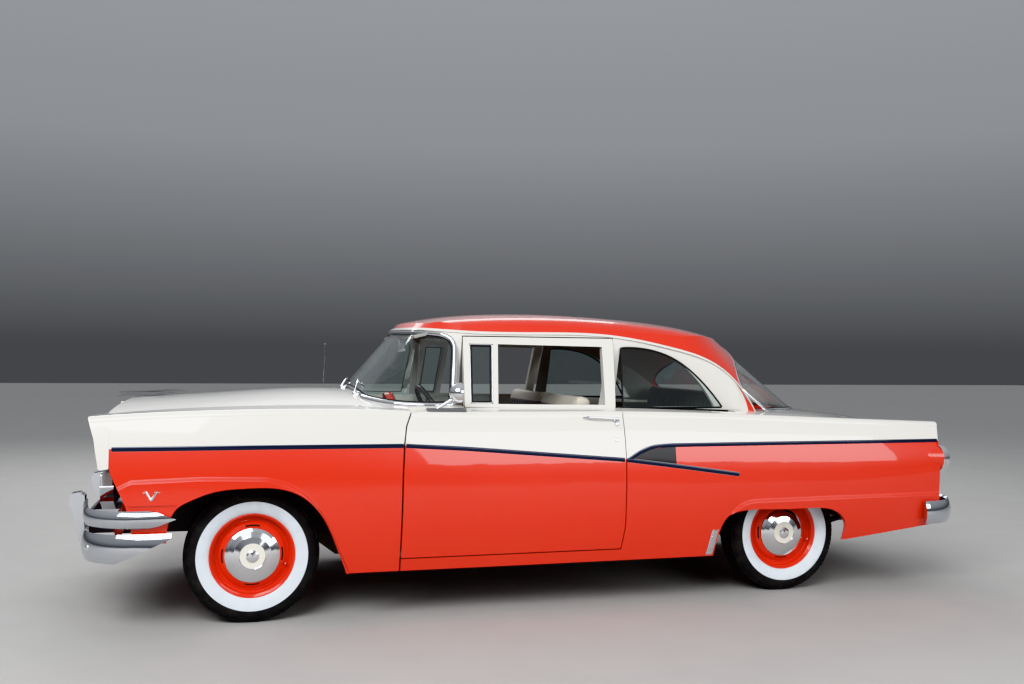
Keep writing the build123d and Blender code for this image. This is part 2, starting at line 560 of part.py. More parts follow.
rear_bar = wrap_bar(4141, 730, 71, 3764, HALF_WIDTH - 2, 372, 504)
guard = side_prism([(4125, 362), (4161, 560), (4150, 592), (4110, 600), (4090, 580), (4096, 362)], 412, 486)
bumper = both(rear_bar + guard)
bumper += both(block(REAR_IRON_X, 4122, 385, 435, 400, 470))
move_out(bumper, "bumper_rear")

# Inner aprons, radiator support.
apron = both(block(-596, FIREWALL_X, APRON_Y, APRON_Y + 12, 500, 960))
apron += both(front_prism([(APRON_Y, 950), (APRON_Y + 12, 950), (706, 1016), (706, 1028), (690, 1028),
                           (APRON_Y, 962)], -596, FIREWALL_X))
apron += block(-596, -584, -708, 708, 492, 930) - block(-600, -580, -322, 322, 510, 900)
apron = apron & (body_volume(SKIN_T + 1, 300) + block(-700, 600, -600, 600, 400, 800))
move_out(apron, "inner_aprons")

# Cowl, firewall and hinge posts.
hood_curve = [Vector(x, y, 880) for x, y in HOOD_REAR]


def hood_plan(gap, z0, z1):
    """Plan shape of the hood with its rear edge bowed round the windshield."""
    pts = [(x + gap, y + (gap if y else 0)) for x, y in HOOD_REAR]
    y_out = HOOD_Y + gap
    right = [Vector(x, min(y, y_out), z0) for x, y in pts]
    left = [Vector(v.X, -v.Y, z0) for v in reversed(right[:-1])]
    edges = [Spline(*(right + left)),
             Line(left[-1], Vector(-1000, -y_out, z0)),
             Line(Vector(-1000, -y_out, z0), Vector(-1000, y_out, z0)),
             Line(Vector(-1000, y_out, z0), right[0])]
    return extrude(Face(Wire(edges)), amount=z1 - z0, dir=(0, 0, 1))


cabin_hole = extrude(Plane.XY.offset(0) * glass_section(1050, 66).moved(Location((0, 0, -150))), amount=600,
                     dir=(0, 0, 1))
cowl_zone = block(440, 1062, -COWL_Y, COWL_Y, 900, 1300) - hood_plan(PANEL_GAP, 800, 1300)
cowl_zone -= both(block(400, COWL_X, HOOD_Y + 1, 900, 800, 1300))
cowl = (body_cowl & cowl_zone) - cabin_hole
post = (body_volume(SKIN_T + 2, 300) & block(600, 706, -960, -772, FLOOR_Z - 20, 1030)) & fore_of_door
post -= block(590, 720, -801, -700, FLOOR_Z - 30, FLOOR_Z + FLOOR_T)
wall = block(FIREWALL_X, FIREWALL_X + 14, -800, 800, FLOOR_Z + FLOOR_T, 1064) & body_volume(COWL_T - 2, 0)
wall -= front_prism(TUNNEL_OUT, FIREWALL_X - 5, FIREWALL_X + 20)
side_wall = block(FIREWALL_X, 620, -800, -786, FLOOR_Z + FLOOR_T, 1000)
strap = None
for z0, z1 in HINGE_HEIGHTS:
    arm = block(700, HINGE_X + 7, -862, -846, z0, z1)
    arm += block(HINGE_X - 7, HINGE_X + 7, -HINGE_Y, -848, z0, z1)
    arm += Pos(HINGE_X, -HINGE_Y, (z0 + z1) / 2) * Cylinder(12, z1 - z0)
    arm -= Pos(HINGE_X, -HINGE_Y, (z0 + z1) / 2) * Cylinder(HINGE_R + RUN_GAP, z1 - z0 + 10)
    strap = arm if strap is None else strap + arm
cowl = cowl + wall + both(post + side_wall + strap)
move_out(cowl, "cowl")

# Floor pan with tunnel and wheelhouses.
HOUSE_R = 378
floor = block(FIREWALL_X, 2340, -800, 800, FLOOR_Z, FLOOR_Z + FLOOR_T)
floor -= block(FIREWALL_X - 5, 2345, -122, 122, FLOOR_Z - 5, FLOOR_Z + FLOOR_T + 5)
tunnel = front_prism(TUNNEL_OUT + TUNNEL_IN, FIREWALL_X, 2450)
kick = side_prism([(2225, 372), (2225, 390), (2330, 390), (2480, 640), (3240, 640), (3420, 524), (3870,
                                                                                                  524),
                   (3870, 510), (3410, 510), (3232, 622), (2490, 622), (2345, 372)], -575, 575)
kick -= front_prism([(122, 300), (122, 388), (98, 574), (-98, 574), (-122, 388), (-122, 300)], 2200, 2450)
side_kick = both(side_prism([(2335, 372), (2300, 390), (2480, 640), (2520, 640), (2520, 622)], 570, 850))
house = both(rod((WHEELBASE, 575, TYRE_R), (WHEELBASE, 925, TYRE_R), HOUSE_R)
             - rod((WHEELBASE, 589, TYRE_R), (WHEELBASE, 930, TYRE_R), HOUSE_R - 12)
             - block(2400, 3500, 500, 1000, -100, 510))
house = house & body_volume(SKIN_T + 1, 300)
floor = floor + tunnel + kick + side_kick + house
move_out(floor, "floor_pan")

# Body sides: quarter panel and sill in one.
rear_arch = curved_side_prism(REAR_ARCH, [(3238, 60), (2425, 60)], LEFT, -LEFT)
rear_low = side_prism([(3230, 296), (3803, 358), (3900, 372), (4300, 372), (4300, 100), (3230, 100)],
                      LEFT, -LEFT)
behind_tail = side_prism(TAIL_EDGE + [(3850, 100), (4400, 100), (4400, 1200), (3905, 1200)], LEFT, -LEFT)
side_wall = body_wall & block(1800, 2420, LEFT, -786, 230, 1200)
side_skin = body_skin & (block(2415, LID_FRONT + 1, LEFT, -786, 230, 1200)
                         + block(LID_FRONT, 4300, LEFT, -LID_Y - PANEL_GAP, 230, 1200))
sill = body_wall & block(DOOR_FRONT[0][0], 2420, LEFT, -786, 230, DOOR_BOTTOM - PANEL_GAP)
quarter = side_wall + side_skin + sill + (flare & side_prism(REAR_CREASE, LEFT, -700))
quarter = quarter - rear_arch - rear_low - behind_tail
quarter = quarter - door_shape(PANEL_GAP, -700)
pod = loft([Plane(origin=(3560, -828, 760), x_dir=(0, 1, 0), z_dir=(1, 0, 0)) * Circle(40),
            Plane(origin=(3912, -TAIL_LAMP_Y, TAIL_LAMP_Z), x_dir=(0, 1, 0), z_dir=(1, 0, 0.25))
            * Circle(TAIL_LAMP_R + 8)])
quarter = quarter + (pod - block(3500, 4000, -LID_Y - 10, 0, 500, 1000))
move_out(quarter, "quarter_left")
move_out(right_of(quarter), "quarter_right")

lamp_face = Plane(origin=(3912, -TAIL_LAMP_Y, TAIL_LAMP_Z), x_dir=(0, 1, 0), z_dir=(1, 0, 0.25))
tail_lens = extrude(lamp_face * Circle(TAIL_LAMP_R), amount=12)
tail_lens += extrude(lamp_face.offset(11) * Circle(TAIL_LAMP_R - 12), amount=16, taper=30)
move_out(both(tail_lens), "tail_lamps")

# Panel between rear window and lid, parcel shelf, lower back panel.
shelf_zone = block(2640, LID_FRONT - PANEL_GAP, -784, 784, 900, 1200)
shelf = (body_skin & shelf_zone) - cabin_hole
shelf += (body_volume(SKIN_T - 2, 0) - body_volume(SKIN_T + 16, 0)) & block(2760, 3400, -650, 650, 900,
                                                                            1100)
shelf = shelf - extrude(glass_section(1050, 66).moved(Location((-400, 0, -150))), amount=600, dir=(0, 0, 1))
move_out(shelf, "parcel_shelf")

deck_tail = curved_side_prism(DECK_TAIL, [(2500, 380), (2500, 1200), (3700, 1200)], LEFT, -LEFT)
tail_plan = plan_prism([(2500, -900), (3890, -900), (3940, -700), (3976, -450), (4000, -200), (4005, 0),
                        (4000, 200), (3976, 450), (3940, 700), (3890, 900), (2500, 900)], 200, 1200)
tail_plan_in = Pos(-SKIN_T, 0, 0) * tail_plan
deck_tail_in = Pos(-SKIN_T, 0, -SKIN_T) * deck_tail
rear_out = body_out & deck_tail & tail_plan
rear_shell = rear_out - (body_volume(SKIN_T, 300) & deck_tail_in & tail_plan_in)
back = rear_shell & (block(3800, 4100, -860, 860, 384, LID_BOTTOM - PANEL_GAP)
                     + both(block(3800, 4100, LID_Y + PANEL_GAP, 860, 384, 930)))
back = back - quarter - right_of(quarter)
back -= both(rod((3860, TAIL_LAMP_Y, TAIL_LAMP_Z), (4100, TAIL_LAMP_Y, TAIL_LAMP_Z), TAIL_LAMP_R + 9))
back -= both(block(3850, 4100, FRAME_IN + 4, FRAME_OUT - 4, 399, 471))
back -= both(rod((3900, PLATE_HOLE_Y, PLATE_Z), (4100, PLATE_HOLE_Y, PLATE_Z), PLATE_HOLE_R))
back += block(3960, 3984, -26, 26, LID_BOTTOM - 20, LID_BOTTOM - RUN_GAP)
back = back.solids().sort_by(SortBy.VOLUME)[-1]
move_out(back, "rear_panel")

lid = rear_shell & block(LID_FRONT, 4100, -LID_Y, LID_Y, LID_BOTTOM, 1200)
move_out(lid, "decklid")

# Hood and its ornament.
hood_front = curved_side_prism(HOOD_NOSE, [(-560, 1300), (700, 1300), (700, 900), (-690, 900)], LEFT, -LEFT)
hood = body_skin & hood_plan(0, 880, 1300) & hood_front
hood += (body_out & hood_plan(0, 880, 1300) & hood_front & block(-700, -664, -HOOD_Y, HOOD_Y, 1006, 1200))
move_out(hood, "hood")

orn = side_prism([(-713, 1076), (-640, 1098), (-420, 1116), (-334, 1106), (-420, 1098), (-600, 1082)],
                 -13, 13)
orn += plan_prism([(-700, 0), (-640, 30), (-440, 128), (-400, 128), (-500, 24), (-500, -24), (-400, -128),
                   (-440, -128), (-640, -30)], 1096, 1104)
orn += block(-560, -470, -8, 8, 1070, 1100)
orn = orn - body_out
move_out(orn.solids().sort_by(SortBy.VOLUME)[-1], "hood_ornament")

# Doors.
door_vol = door_shape(0, -560)
door_low = body_wall & door_vol & block(600, 2100, LEFT, -788, 200, 1200)
frame_zone = side_prism([(1068, 1030), (1068, 1056), (1088, 1420), (2100, 1420), (2100, 1030)], LEFT, -300)
door_frame = ((glass_out - glass_in) & frame_zone & door_vol) - body_out
window = side_prism(DOOR_WINDOW, LEFT, -300)
door = door_low + (door_frame - window)
door += ((glass_out - glass_in) & side_prism(VENT_BAR, LEFT, -300)) - body_out
for z0, z1 in HINGE_HEIGHTS:
    door -= block(600, HINGE_X + 18, -HINGE_Y - 15, -800, z0 - 6, z1 + 6)
low, high = HINGE_HEIGHTS[0][0] - 14, HINGE_HEIGHTS[-1][1] + 14
door += Pos(HINGE_X, -HINGE_Y, (low + high) / 2) * Cylinder(HINGE_R, high - low)
move_out(door, "door_left")
move_out(right_of(door), "door_right")

vent = glass_pane & side_prism([DOOR_WINDOW[0], DOOR_WINDOW[1], VENT_BAR[1], VENT_BAR[0]], LEFT, -300)
vent = vent & window - side_prism(VENT_BAR, LEFT, -300) - body_out
move_out(vent, "vent_window_left")
move_out(right_of(vent), "vent_window_right")

mirror_head = Pos(1008, -898, 1128) * (Sphere(52) & block(-60, 10, -60, 60, -60, 60))
mirror_arm = rod((1000, -898, 1110), (900, -868, 1046), 9)
mirror_foot = fillet(block(842, 1056, -884, -846, 1034, 1050).edges().filter_by(Axis.Z), 17)
move_out((mirror_head + mirror_arm + mirror_foot) - body_out, "door_mirror")

# Roof and side window frames.
above_drip = curved_side_prism(DRIP_LINE, [(3600, 990), (3600, 1700), (560, 1700)], LEFT, -LEFT)
rear_window_zone = curved_side_prism(REAR_WINDOW_EDGE, [(2900, 900), (3700, 900), (3700, 1700), (3300,
                                                                                                 1700)],
                                     LEFT, -LEFT)
front_window_zone = side_prism([(300, 900)] + WINDSHIELD_REAR + [(760, 1462), (700, 1470), (300, 1470)],
                               LEFT, -LEFT)
roof = (greenhouse & above_drip) - rear_window_zone - front_window_zone
move_out(roof, "roof")

rail_band = above_drip - Pos(0, 0, DRIP_H) * above_drip - rear_window_zone
drip = ((glass_volume(-DRIP_OUT) - glass_volume(RUN_GAP)) & rail_band) - (glass_in & roof_out) - body_out
drip = (drip - (roof_out & glass_out)) & block(700, 2800, LEFT, -LEFT, 990, 1500)
move_out(drip, "drip_rail")

quarter_light = curved_side_prism(QUARTER_WINDOW_ARC, [(1949, 1040)], LEFT, -200)
frame_side = (greenhouse - above_drip - front_window_zone - rear_window_zone) & block(900, 3000, LEFT, -300,
                                                                                    900, 1500)
frame_side = frame_side - door_shape(PANEL_GAP, -300) - quarter_light
move_out(frame_side, "window_frame_left")
move_out(right_of(frame_side), "window_frame_right")

quarter_pane = (glass_pane & quarter_light) - body_out
move_out(both(quarter_pane), "quarter_glass")
screen = (glass_pane & front_window_zone) - body_out
move_out(screen, "windshield")
back_light = (glass_pane & rear_window_zone & roof_out) - body_out
move_out(back_light, "rear_window")

# Dashboard and steering.

tilt = radians(STEER_TILT)
axis_x, axis_z = cos(tilt), sin(tilt)


def along(s, y=-STEER_Y):
    return (STEER_X + axis_x * s, y, STEER_Z + axis_z * s)


column = rod(along(-42), along(-545), 24)
column -= rod(along(-40), along(-90), 10 + RUN_GAP)
move_out(column, "steering_column")

dash = side_prism([(620, 800), (700, 800), (770, 850), (780, 925), (740, 985), (640, 1002), (604, 985)],
                  -772, 772)
dash -= rod(along(0), along(-600), 24)
move_out(dash, "dashboard")

wheel_plane = Plane(origin=along(0), z_dir=(axis_x, 0, axis_z))
steering = wheel_plane * Torus(STEER_R, 13)
steering += extrude(wheel_plane.offset(-34) * Circle(38), amount=40)
steering += extrude(wheel_plane.offset(-16) * Rectangle(26, 2 * STEER_R - 6), amount=12)
steering += rod(along(-30), along(-84), 10)
move_out(steering, "steering_wheel")

# Bench seats.
seat = fillet(block(1140, 1660, -690, 690, 596, 728).edges(), 45)
seat += fillet(side_prism([(1600, 600), (1700, 1080), (1790, 1080), (1760, 600)], -690, 690).edges(), 38)
seat += both(block(1180, 1640, 500, 560, FLOOR_Z + FLOOR_T, 640))
move_out(seat, "front_seat")
seat = fillet(block(2170, 2640, -590, 590, 642, 740).edges(), 40)
seat += fillet(side_prism([(2560, 660), (2640, 1010), (2740, 1010), (2720, 650)], -590, 590).edges(), 38)
seat += block(2242, 2470, -560, 560, 391, 655) - side_prism([(2323, 380), (2473, 641), (2600, 641),
                                                            (2600, 380)], -600, 600)
seat -= front_prism([(141, 300), (141, 390), (111, 591), (-111, 591), (-141, 390), (-141, 300)], 2200, 2480)
move_out(seat, "rear_seat")
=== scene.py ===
import math

import bmesh
import bpy
from mathutils import Matrix, Vector
from mathutils.bvhtree import BVHTree


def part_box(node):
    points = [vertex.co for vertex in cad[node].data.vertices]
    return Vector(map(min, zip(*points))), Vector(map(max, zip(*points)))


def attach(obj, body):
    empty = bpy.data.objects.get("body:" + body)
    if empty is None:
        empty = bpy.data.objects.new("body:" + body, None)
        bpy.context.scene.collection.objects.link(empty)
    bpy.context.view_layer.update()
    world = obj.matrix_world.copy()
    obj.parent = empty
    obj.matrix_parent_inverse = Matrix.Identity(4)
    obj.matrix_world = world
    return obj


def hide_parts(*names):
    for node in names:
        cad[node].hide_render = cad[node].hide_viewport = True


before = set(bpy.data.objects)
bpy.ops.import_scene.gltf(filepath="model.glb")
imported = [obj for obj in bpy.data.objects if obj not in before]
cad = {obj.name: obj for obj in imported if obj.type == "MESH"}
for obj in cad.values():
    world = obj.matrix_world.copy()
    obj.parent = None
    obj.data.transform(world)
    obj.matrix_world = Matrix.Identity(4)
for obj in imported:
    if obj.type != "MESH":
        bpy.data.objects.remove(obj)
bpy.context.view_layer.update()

# Studio. The car stands on a pale matt floor under three large soft panels and a bright, even
# room. The camera stands 5.9 m off the car's left side at eye height, where the photograph was taken.


class Value:
    """A socket of a node tree. Sums written with it add the tree's own Math nodes."""

    def __init__(self, tree, socket):
        self.tree, self.socket = tree, socket

    def math(self, operation, *values):
        return self.tree.node("ShaderNodeMath", {"operation": operation}, dict(enumerate(values)))

    def __add__(self, other):
        return self.math("ADD", self, other)

    def __sub__(self, other):
        return self.math("SUBTRACT", self, other)

    def __rsub__(self, other):
        return self.math("SUBTRACT", other, self)

    def __mul__(self, other):
        return self.math("MULTIPLY", self, other)

    def __truediv__(self, other):
        return self.math("DIVIDE", self, other)

    def __pow__(self, other):
        return self.math("POWER", self, other)

    def __gt__(self, other):
        return self.math("GREATER_THAN", self, other)

    def __neg__(self):
        return self.math("MULTIPLY", self, -1.0)

    def __abs__(self):
        return self.math("ABSOLUTE", self)

    __radd__ = __add__
    __rmul__ = __mul__

    def least(self, other):
        return self.math("MINIMUM", self, other)

    def most(self, other):
        return self.math("MAXIMUM", self, other)

    def wave(self):
        """The height of rounded ribs, pi apart."""
        return abs(self.math("SINE", self))

    def ramp(self, low, high):
        """0 below low, 1 above high, and a soft step between them."""
        return self.tree.node("ShaderNodeMapRange", {"interpolation_type": "SMOOTHSTEP", "clamp": True},
            {0: self, 1: low, 2: high, 3: 0.0, 4: 1.0})


class Tree:
    """Adds nodes to one node tree: a type, then its settings, then the values or links of its sockets."""

    def __init__(self, tree):
        self.tree = tree

    def node(self, kind, settings=None, inputs=None, output=0):
        made = self.tree.nodes.new(kind)
        for name, value in (settings or {}).items():
            if name == "stops":
                for (place, colour), stop in zip(value, list(made.color_ramp.elements)
                        + [made.color_ramp.elements.new(1) for _ in value[2:]]):
                    stop.position, stop.color = place, (*colour, 1)
            elif name == "points":
                curve = made.mapping.curves[0]
                for place in value[2:]:
                    curve.points.new(*place)
                for place, point in zip(sorted(value), curve.points):
                    point.location = place
                    point.handle_type = "VECTOR"
                made.mapping.update()
            else:
                setattr(made, name, value)
        for key, value in (inputs or {}).items():
            if isinstance(value, Value):
                self.tree.links.new(value.socket, made.inputs[key])
            else:
                made.inputs[key].default_value = value
        return Value(self, made.outputs[output])


class Finish(Tree):
    """A material on the principled shader, with its patterns in object coordinates."""

    def __init__(self, name, colour=(0.5, 0.5, 0.5), roughness=0.5, metallic=0.0, **constants):
        self.material = bpy.data.materials.new(name)
        self.material.use_nodes = True
        super().__init__(self.material.node_tree)
        self.shader = self.tree.nodes["Principled BSDF"]
        self.set("Base Color", (*colour, 1))
        self.set("Roughness", roughness)
        self.set("Metallic", metallic)
        for socket, value in constants.items():
            self.set(socket.replace("_", " "), value)
        self.place = self.node("ShaderNodeTexCoord", output="Object")
        self.x, self.y, self.z = (
            self.node("ShaderNodeSeparateXYZ", None, {0: self.place}, i) for i in range(3))

    def set(self, socket, value):
        if isinstance(value, Value):
            self.tree.links.new(value.socket, self.shader.inputs[socket])
        else:
            self.shader.inputs[socket].default_value = value

    def noise(self, scale, detail=3.0, roughness=0.55, stretch=(1, 1, 1)):
        place = self.node("ShaderNodeMapping", None, {"Vector": self.place, "Scale": stretch})
        return self.node("ShaderNodeTexNoise", None, {"Vector": place, "Scale": scale, "Detail": detail,
            "Roughness": roughness})

    def mix(self, factor, first, second):
        pair = [c if isinstance(c, Value) else (*c, 1) for c in (first, second)]
        return self.node("ShaderNodeMix", {"data_type": "RGBA"}, {0: factor, 6: pair[0], 7: pair[1]}, 2)

    def bump(self, height, strength=0.3, distance=0.001):
        self.set("Normal", self.node("ShaderNodeBump", None, {"Height": height, "Strength": strength,
            "Distance": distance}))


def wear(name, finish):
    """Puts a finish on every slot of a CAD node."""
    mesh = cad[name].data
    mesh.materials.clear()
    mesh.materials.append(finish.material)


scene = bpy.context.scene
scene.view_settings.view_transform = "Khronos PBR Neutral"

floor_finish = Finish("studio_floor", roughness=0.85)
cloud = floor_finish.noise(3.0)
floor_finish.set("Base Color", floor_finish.mix(cloud, (0.45, 0.445, 0.435), (0.5, 0.495, 0.485)))
bpy.ops.mesh.primitive_plane_add(size=80, location=(0, 0, 0))
floor = bpy.context.object
floor.name = "studio_floor"
floor.data.materials.append(floor_finish.material)

world = bpy.data.worlds.new("studio_room")
scene.world = world
world.use_nodes = True
room = Tree(world.node_tree)
up = room.node("ShaderNodeSeparateXYZ", None, {0: room.node("ShaderNodeTexCoord", output="Generated")}, 2)
sky = room.node("ShaderNodeValToRGB", {"stops": [(0.0, (0.2, 0.2, 0.2)), (0.505, (0.16, 0.165, 0.175)),
    (0.6, (0.5, 0.52, 0.55)), (1.0, (0.95, 0.97, 1.0))]}, {0: up * 0.5 + 0.5})
world.node_tree.links.new(sky.socket, world.node_tree.nodes["Background"].inputs["Color"])
world.node_tree.nodes["Background"].inputs["Strength"].default_value = 0.6

PANELS = [  # name, place, aim, width, height, watts
    ("panel_key", (-4.5, -6.5, 6.0), (-0.3, 0, 0.6), 6.0, 4.0, 620),
    ("panel_side", (4.0, -8.0, 3.2), (0.8, 0, 0.6), 7.0, 3.0, 260),
    ("panel_back", (0.0, 6.5, 6.0), (0, 0, 0.8), 8.0, 3.0, 320),
]
for name, place, aim, width, height, watts in PANELS:
    light = bpy.data.lights.new(name, "AREA")
    light.shape, light.size, light.size_y, light.energy = "RECTANGLE", width, height, watts
    lamp = bpy.data.objects.new(name, light)
    turned_to = (Vector(aim) - Vector(place)).to_track_quat("-Z", "Y")
    lamp.matrix_world = Matrix.Translation(place) @ turned_to.to_matrix().to_4x4()
    scene.collection.objects.link(lamp)

CAMERA_PLACE = (-1.787, -5.945, 1.318)
CAMERA_YAW, CAMERA_PITCH, CAMERA_ROLL = 0.276327, 0.013884, 0.010054
ahead = Vector((math.sin(CAMERA_YAW) * math.cos(CAMERA_PITCH),
    math.cos(CAMERA_YAW) * math.cos(CAMERA_PITCH), math.sin(CAMERA_PITCH)))
level = Vector((math.cos(CAMERA_YAW), -math.sin(CAMERA_YAW), 0))
above = level.cross(ahead)
right = level * math.cos(CAMERA_ROLL) + above * math.sin(CAMERA_ROLL)
above = right.cross(ahead)
lens = bpy.data.cameras.new("camera")
lens.sensor_width, lens.lens, lens.clip_end = 36.0, 35.68, 200.0
camera = bpy.data.objects.new("camera", lens)
camera.matrix_world = Matrix.Translation(CAMERA_PLACE) @ Matrix((right, above, -ahead)).transposed().to_4x4()
scene.collection.objects.link(camera)
scene.camera = camera

# Underside. A welded ladder frame with bolted arms, axle and leaf springs, all brushed with black
# chassis paint, under a film of road dust that is thicker low down.

chassis_paint = Finish("chassis_paint", roughness=0.5)
dust = (chassis_paint.noise(9.0) * 1.2 + (0.32 - chassis_paint.z) * 1.5).ramp(0.45, 1.0)
chassis_paint.set("Base Color", chassis_paint.mix(dust, (0.02, 0.02, 0.022), (0.11, 0.095, 0.08)))
chassis_paint.set("Roughness", 0.38 + dust * 0.45)
chassis_paint.bump(chassis_paint.noise(160.0), 0.25, 0.0006)
for name in ("chassis_frame", "front_suspension", "rear_axle", "leaf_springs", "radiator", "inner_aprons",
        "fuel_tank", "floor_pan", "steering_column"):
    wear(name, chassis_paint)

# Engine, knuckles, shaft and exhaust. The block is painted cast iron, the knuckles are bare forgings,
# and the shaft and pipes are drawn steel tube gone brown with heat and road salt.

block_paint = Finish("block_paint", roughness=0.45)
oil = block_paint.noise(7.0).ramp(0.5, 0.75)
block_paint.set("Base Color", block_paint.mix(oil, (0.42, 0.03, 0.018), (0.05, 0.02, 0.015)))
block_paint.bump(block_paint.noise(240.0), 0.5, 0.0008)
wear("engine", block_paint)

forging = Finish("forging", metallic=0.8, roughness=0.55)
forging.set("Base Color", forging.mix(forging.noise(30.0), (0.13, 0.12, 0.115), (0.23, 0.2, 0.17)))
forging.bump(forging.noise(180.0), 0.5, 0.0008)
tube_steel = Finish("tube_steel", metallic=0.85, roughness=0.4)
rust = tube_steel.noise(14.0, 6.0).ramp(0.48, 0.72)
tube_steel.set("Base Color", tube_steel.mix(rust, (0.3, 0.29, 0.28), (0.16, 0.075, 0.035)))
tube_steel.set("Roughness", 0.35 + rust * 0.45)
tube_steel.set("Metallic", 0.95 - rust * 0.8)
for name in ("knuckle_left", "knuckle_right"):
    wear(name, forging)
for name in ("propeller_shaft", "exhaust"):
    wear(name, tube_steel)

# Wheels. Pressed steel rims in body red are bolted to the hubs, under a sprung-on chrome dome cap with
# a cream ring. The crossply tyres are moulded with a wide bluish-white band on both walls.

WHITEWALL, RIM_SLOT_SHADE, CAP_RING = (0.2065, 0.2665), (0.141, 0.149), (0.03, 0.061)  # inner and outer radius
CORNERS = ("front_left", "front_right", "rear_left", "rear_right")


def hub_of(corner):
    """The middle of a wheel."""
    low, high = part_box("tyre_" + corner)
    return (low + high) / 2


def radius_from(finish, corner):
    """The distance from the corner's axle, as a value of the finish."""
    hub = hub_of(corner)
    return ((finish.x - hub.x) ** 2 + (finish.z - hub.z) ** 2) ** 0.5


def within(radius, limits, soft=0.0005):
    """1 between two radii and 0 elsewhere."""
    inner, outer = limits
    return radius.ramp(inner - soft, inner + soft) * (1 - radius.ramp(outer - soft, outer + soft))


def fit(name, mesh, body, finish=None, smooth=40):
    """Puts a finished mesh on a body as one piece, with soft shading up to an angle."""
    mesh.name = name
    piece = bpy.data.objects.new(name, mesh)
    scene.collection.objects.link(piece)
    if finish:
        mesh.materials.clear()
        mesh.materials.append(finish.material)
    if smooth:
        mesh.polygons.foreach_set("use_smooth", [True] * len(mesh.polygons))
        mesh.set_sharp_from_angle(angle=math.radians(smooth))
    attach(piece, body)
    return piece


def mesh_of(bm):
    """The plain mesh of a finished bmesh, with its faces pointing outwards."""
    bmesh.ops.recalc_face_normals(bm, faces=bm.faces[:])
    mesh = bpy.data.meshes.new("mesh")
    bm.to_mesh(mesh)
    bm.free()
    return mesh


def settled(holder, **options):
    """The plain mesh of an object with its modifiers applied."""
    graph = bpy.context.evaluated_depsgraph_get()
    return bpy.data.meshes.new_from_object(holder.evaluated_get(graph), depsgraph=graph, **options)


def full_turn(steps):
    """The angles of one turn in equal steps."""
    return [2 * math.pi * i / steps for i in range(steps)]


def turned(profile, centre, axis, steps=64):
    """A lathe-turned mesh. The profile lists (along the axis, radius) round a ring or from pole to pole."""
    ahead = Vector(axis).normalized()
    across = ahead.orthogonal().normalized()
    over = ahead.cross(across)
    bm = bmesh.new()
    rings = []
    for along, radius in profile:
        spot = Vector(centre) + ahead * along
        rings.append([bm.verts.new(spot)] if radius == 0 else [bm.verts.new(spot
            + (across * math.cos(t) + over * math.sin(t)) * radius) for t in full_turn(steps)])
    closed = all(len(r) > 1 for r in rings)
    for a, b in zip(rings, rings[1:] + (rings[:1] if closed else [])):
        for i in range(steps):
            corners = [a[i % len(a)], a[(i + 1) % len(a)], b[(i + 1) % len(b)], b[i % len(b)]]
            bm.faces.new(dict.fromkeys(corners))
    return mesh_of(bm)


class Growth(Tree):
    """A Geometry Nodes tree with named inputs. What it grows on a start mesh is kept as a plain mesh."""

    def __init__(self, name, **inputs):
        super().__init__(bpy.data.node_groups.new(name, "GeometryNodeTree"))
        for label, kind in {"Geometry": "Geometry", **inputs, "Finish": "Material"}.items():
            self.tree.interface.new_socket(name=label, in_out="INPUT", socket_type="NodeSocket" + kind)
        self.tree.interface.new_socket(name="Geometry", in_out="OUTPUT", socket_type="NodeSocketGeometry")
        self.given = self.tree.nodes.new("NodeGroupInput")

    def input(self, name):
        return Value(self, self.given.outputs[name])

    def end(self, geometry):
        whole = self.node("GeometryNodeRealizeInstances", None, {0: geometry})
        dressed = self.node(
            "GeometryNodeSetMaterial", None, {"Geometry": whole, "Material": self.input("Finish")})
        self.tree.links.new(dressed.socket, self.tree.nodes.new("NodeGroupOutput").inputs[0])

    def grow(self, name, start, body, finish, **values):
        holder = bpy.data.objects.new(name + "_start", start)
        scene.collection.objects.link(holder)
        growing = holder.modifiers.new("growing", "NODES")
        growing.node_group = self.tree
        values["Finish"] = finish.material
        for item in self.tree.interface.items_tree:
            if item.in_out == "INPUT" and item.name in values:
                growing[item.identifier] = values[item.name]
        mesh = settled(holder, preserve_all_data_layers=True)
        bpy.data.objects.remove(holder)
        return fit(name, mesh, body)


ring_of = Growth("ring_of_copies", Count="Int", Centre="Vector")
spots = ring_of.node("GeometryNodeMeshLine", None, {"Count": ring_of.input("Count"), "Offset": (0, 0, 0)})
turn = ring_of.node("GeometryNodeInputIndex") * (2 * math.pi) / ring_of.input("Count")
copies = ring_of.node("GeometryNodeInstanceOnPoints", None, {
    "Points": spots, "Instance": ring_of.input("Geometry"),
    "Rotation": ring_of.node("ShaderNodeCombineXYZ", None, {0: 0.0, 1: turn, 2: 0.0})})
ring_of.end(ring_of.node("GeometryNodeTransform", None, {
    "Geometry": ring_of.node("GeometryNodeRealizeInstances", None, {0: copies}),
    "Translation": ring_of.input("Centre")}))


def blocks(boxes, bevel=0.0):
    """Bevelled blocks in one mesh, each from its lowest to its highest corner."""
    bm = bmesh.new()
    for low, high in boxes:
        for v in bmesh.ops.create_cube(bm, size=1.0)["verts"]:
            v.co = Vector((low[i] + (high[i] - low[i]) * (v.co[i] + 0.5) for i in range(3)))
    if bevel:
        bmesh.ops.bevel(bm, geom=bm.edges[:], offset=bevel, segments=2, profile=0.6, affect="EDGES")
    return mesh_of(bm)


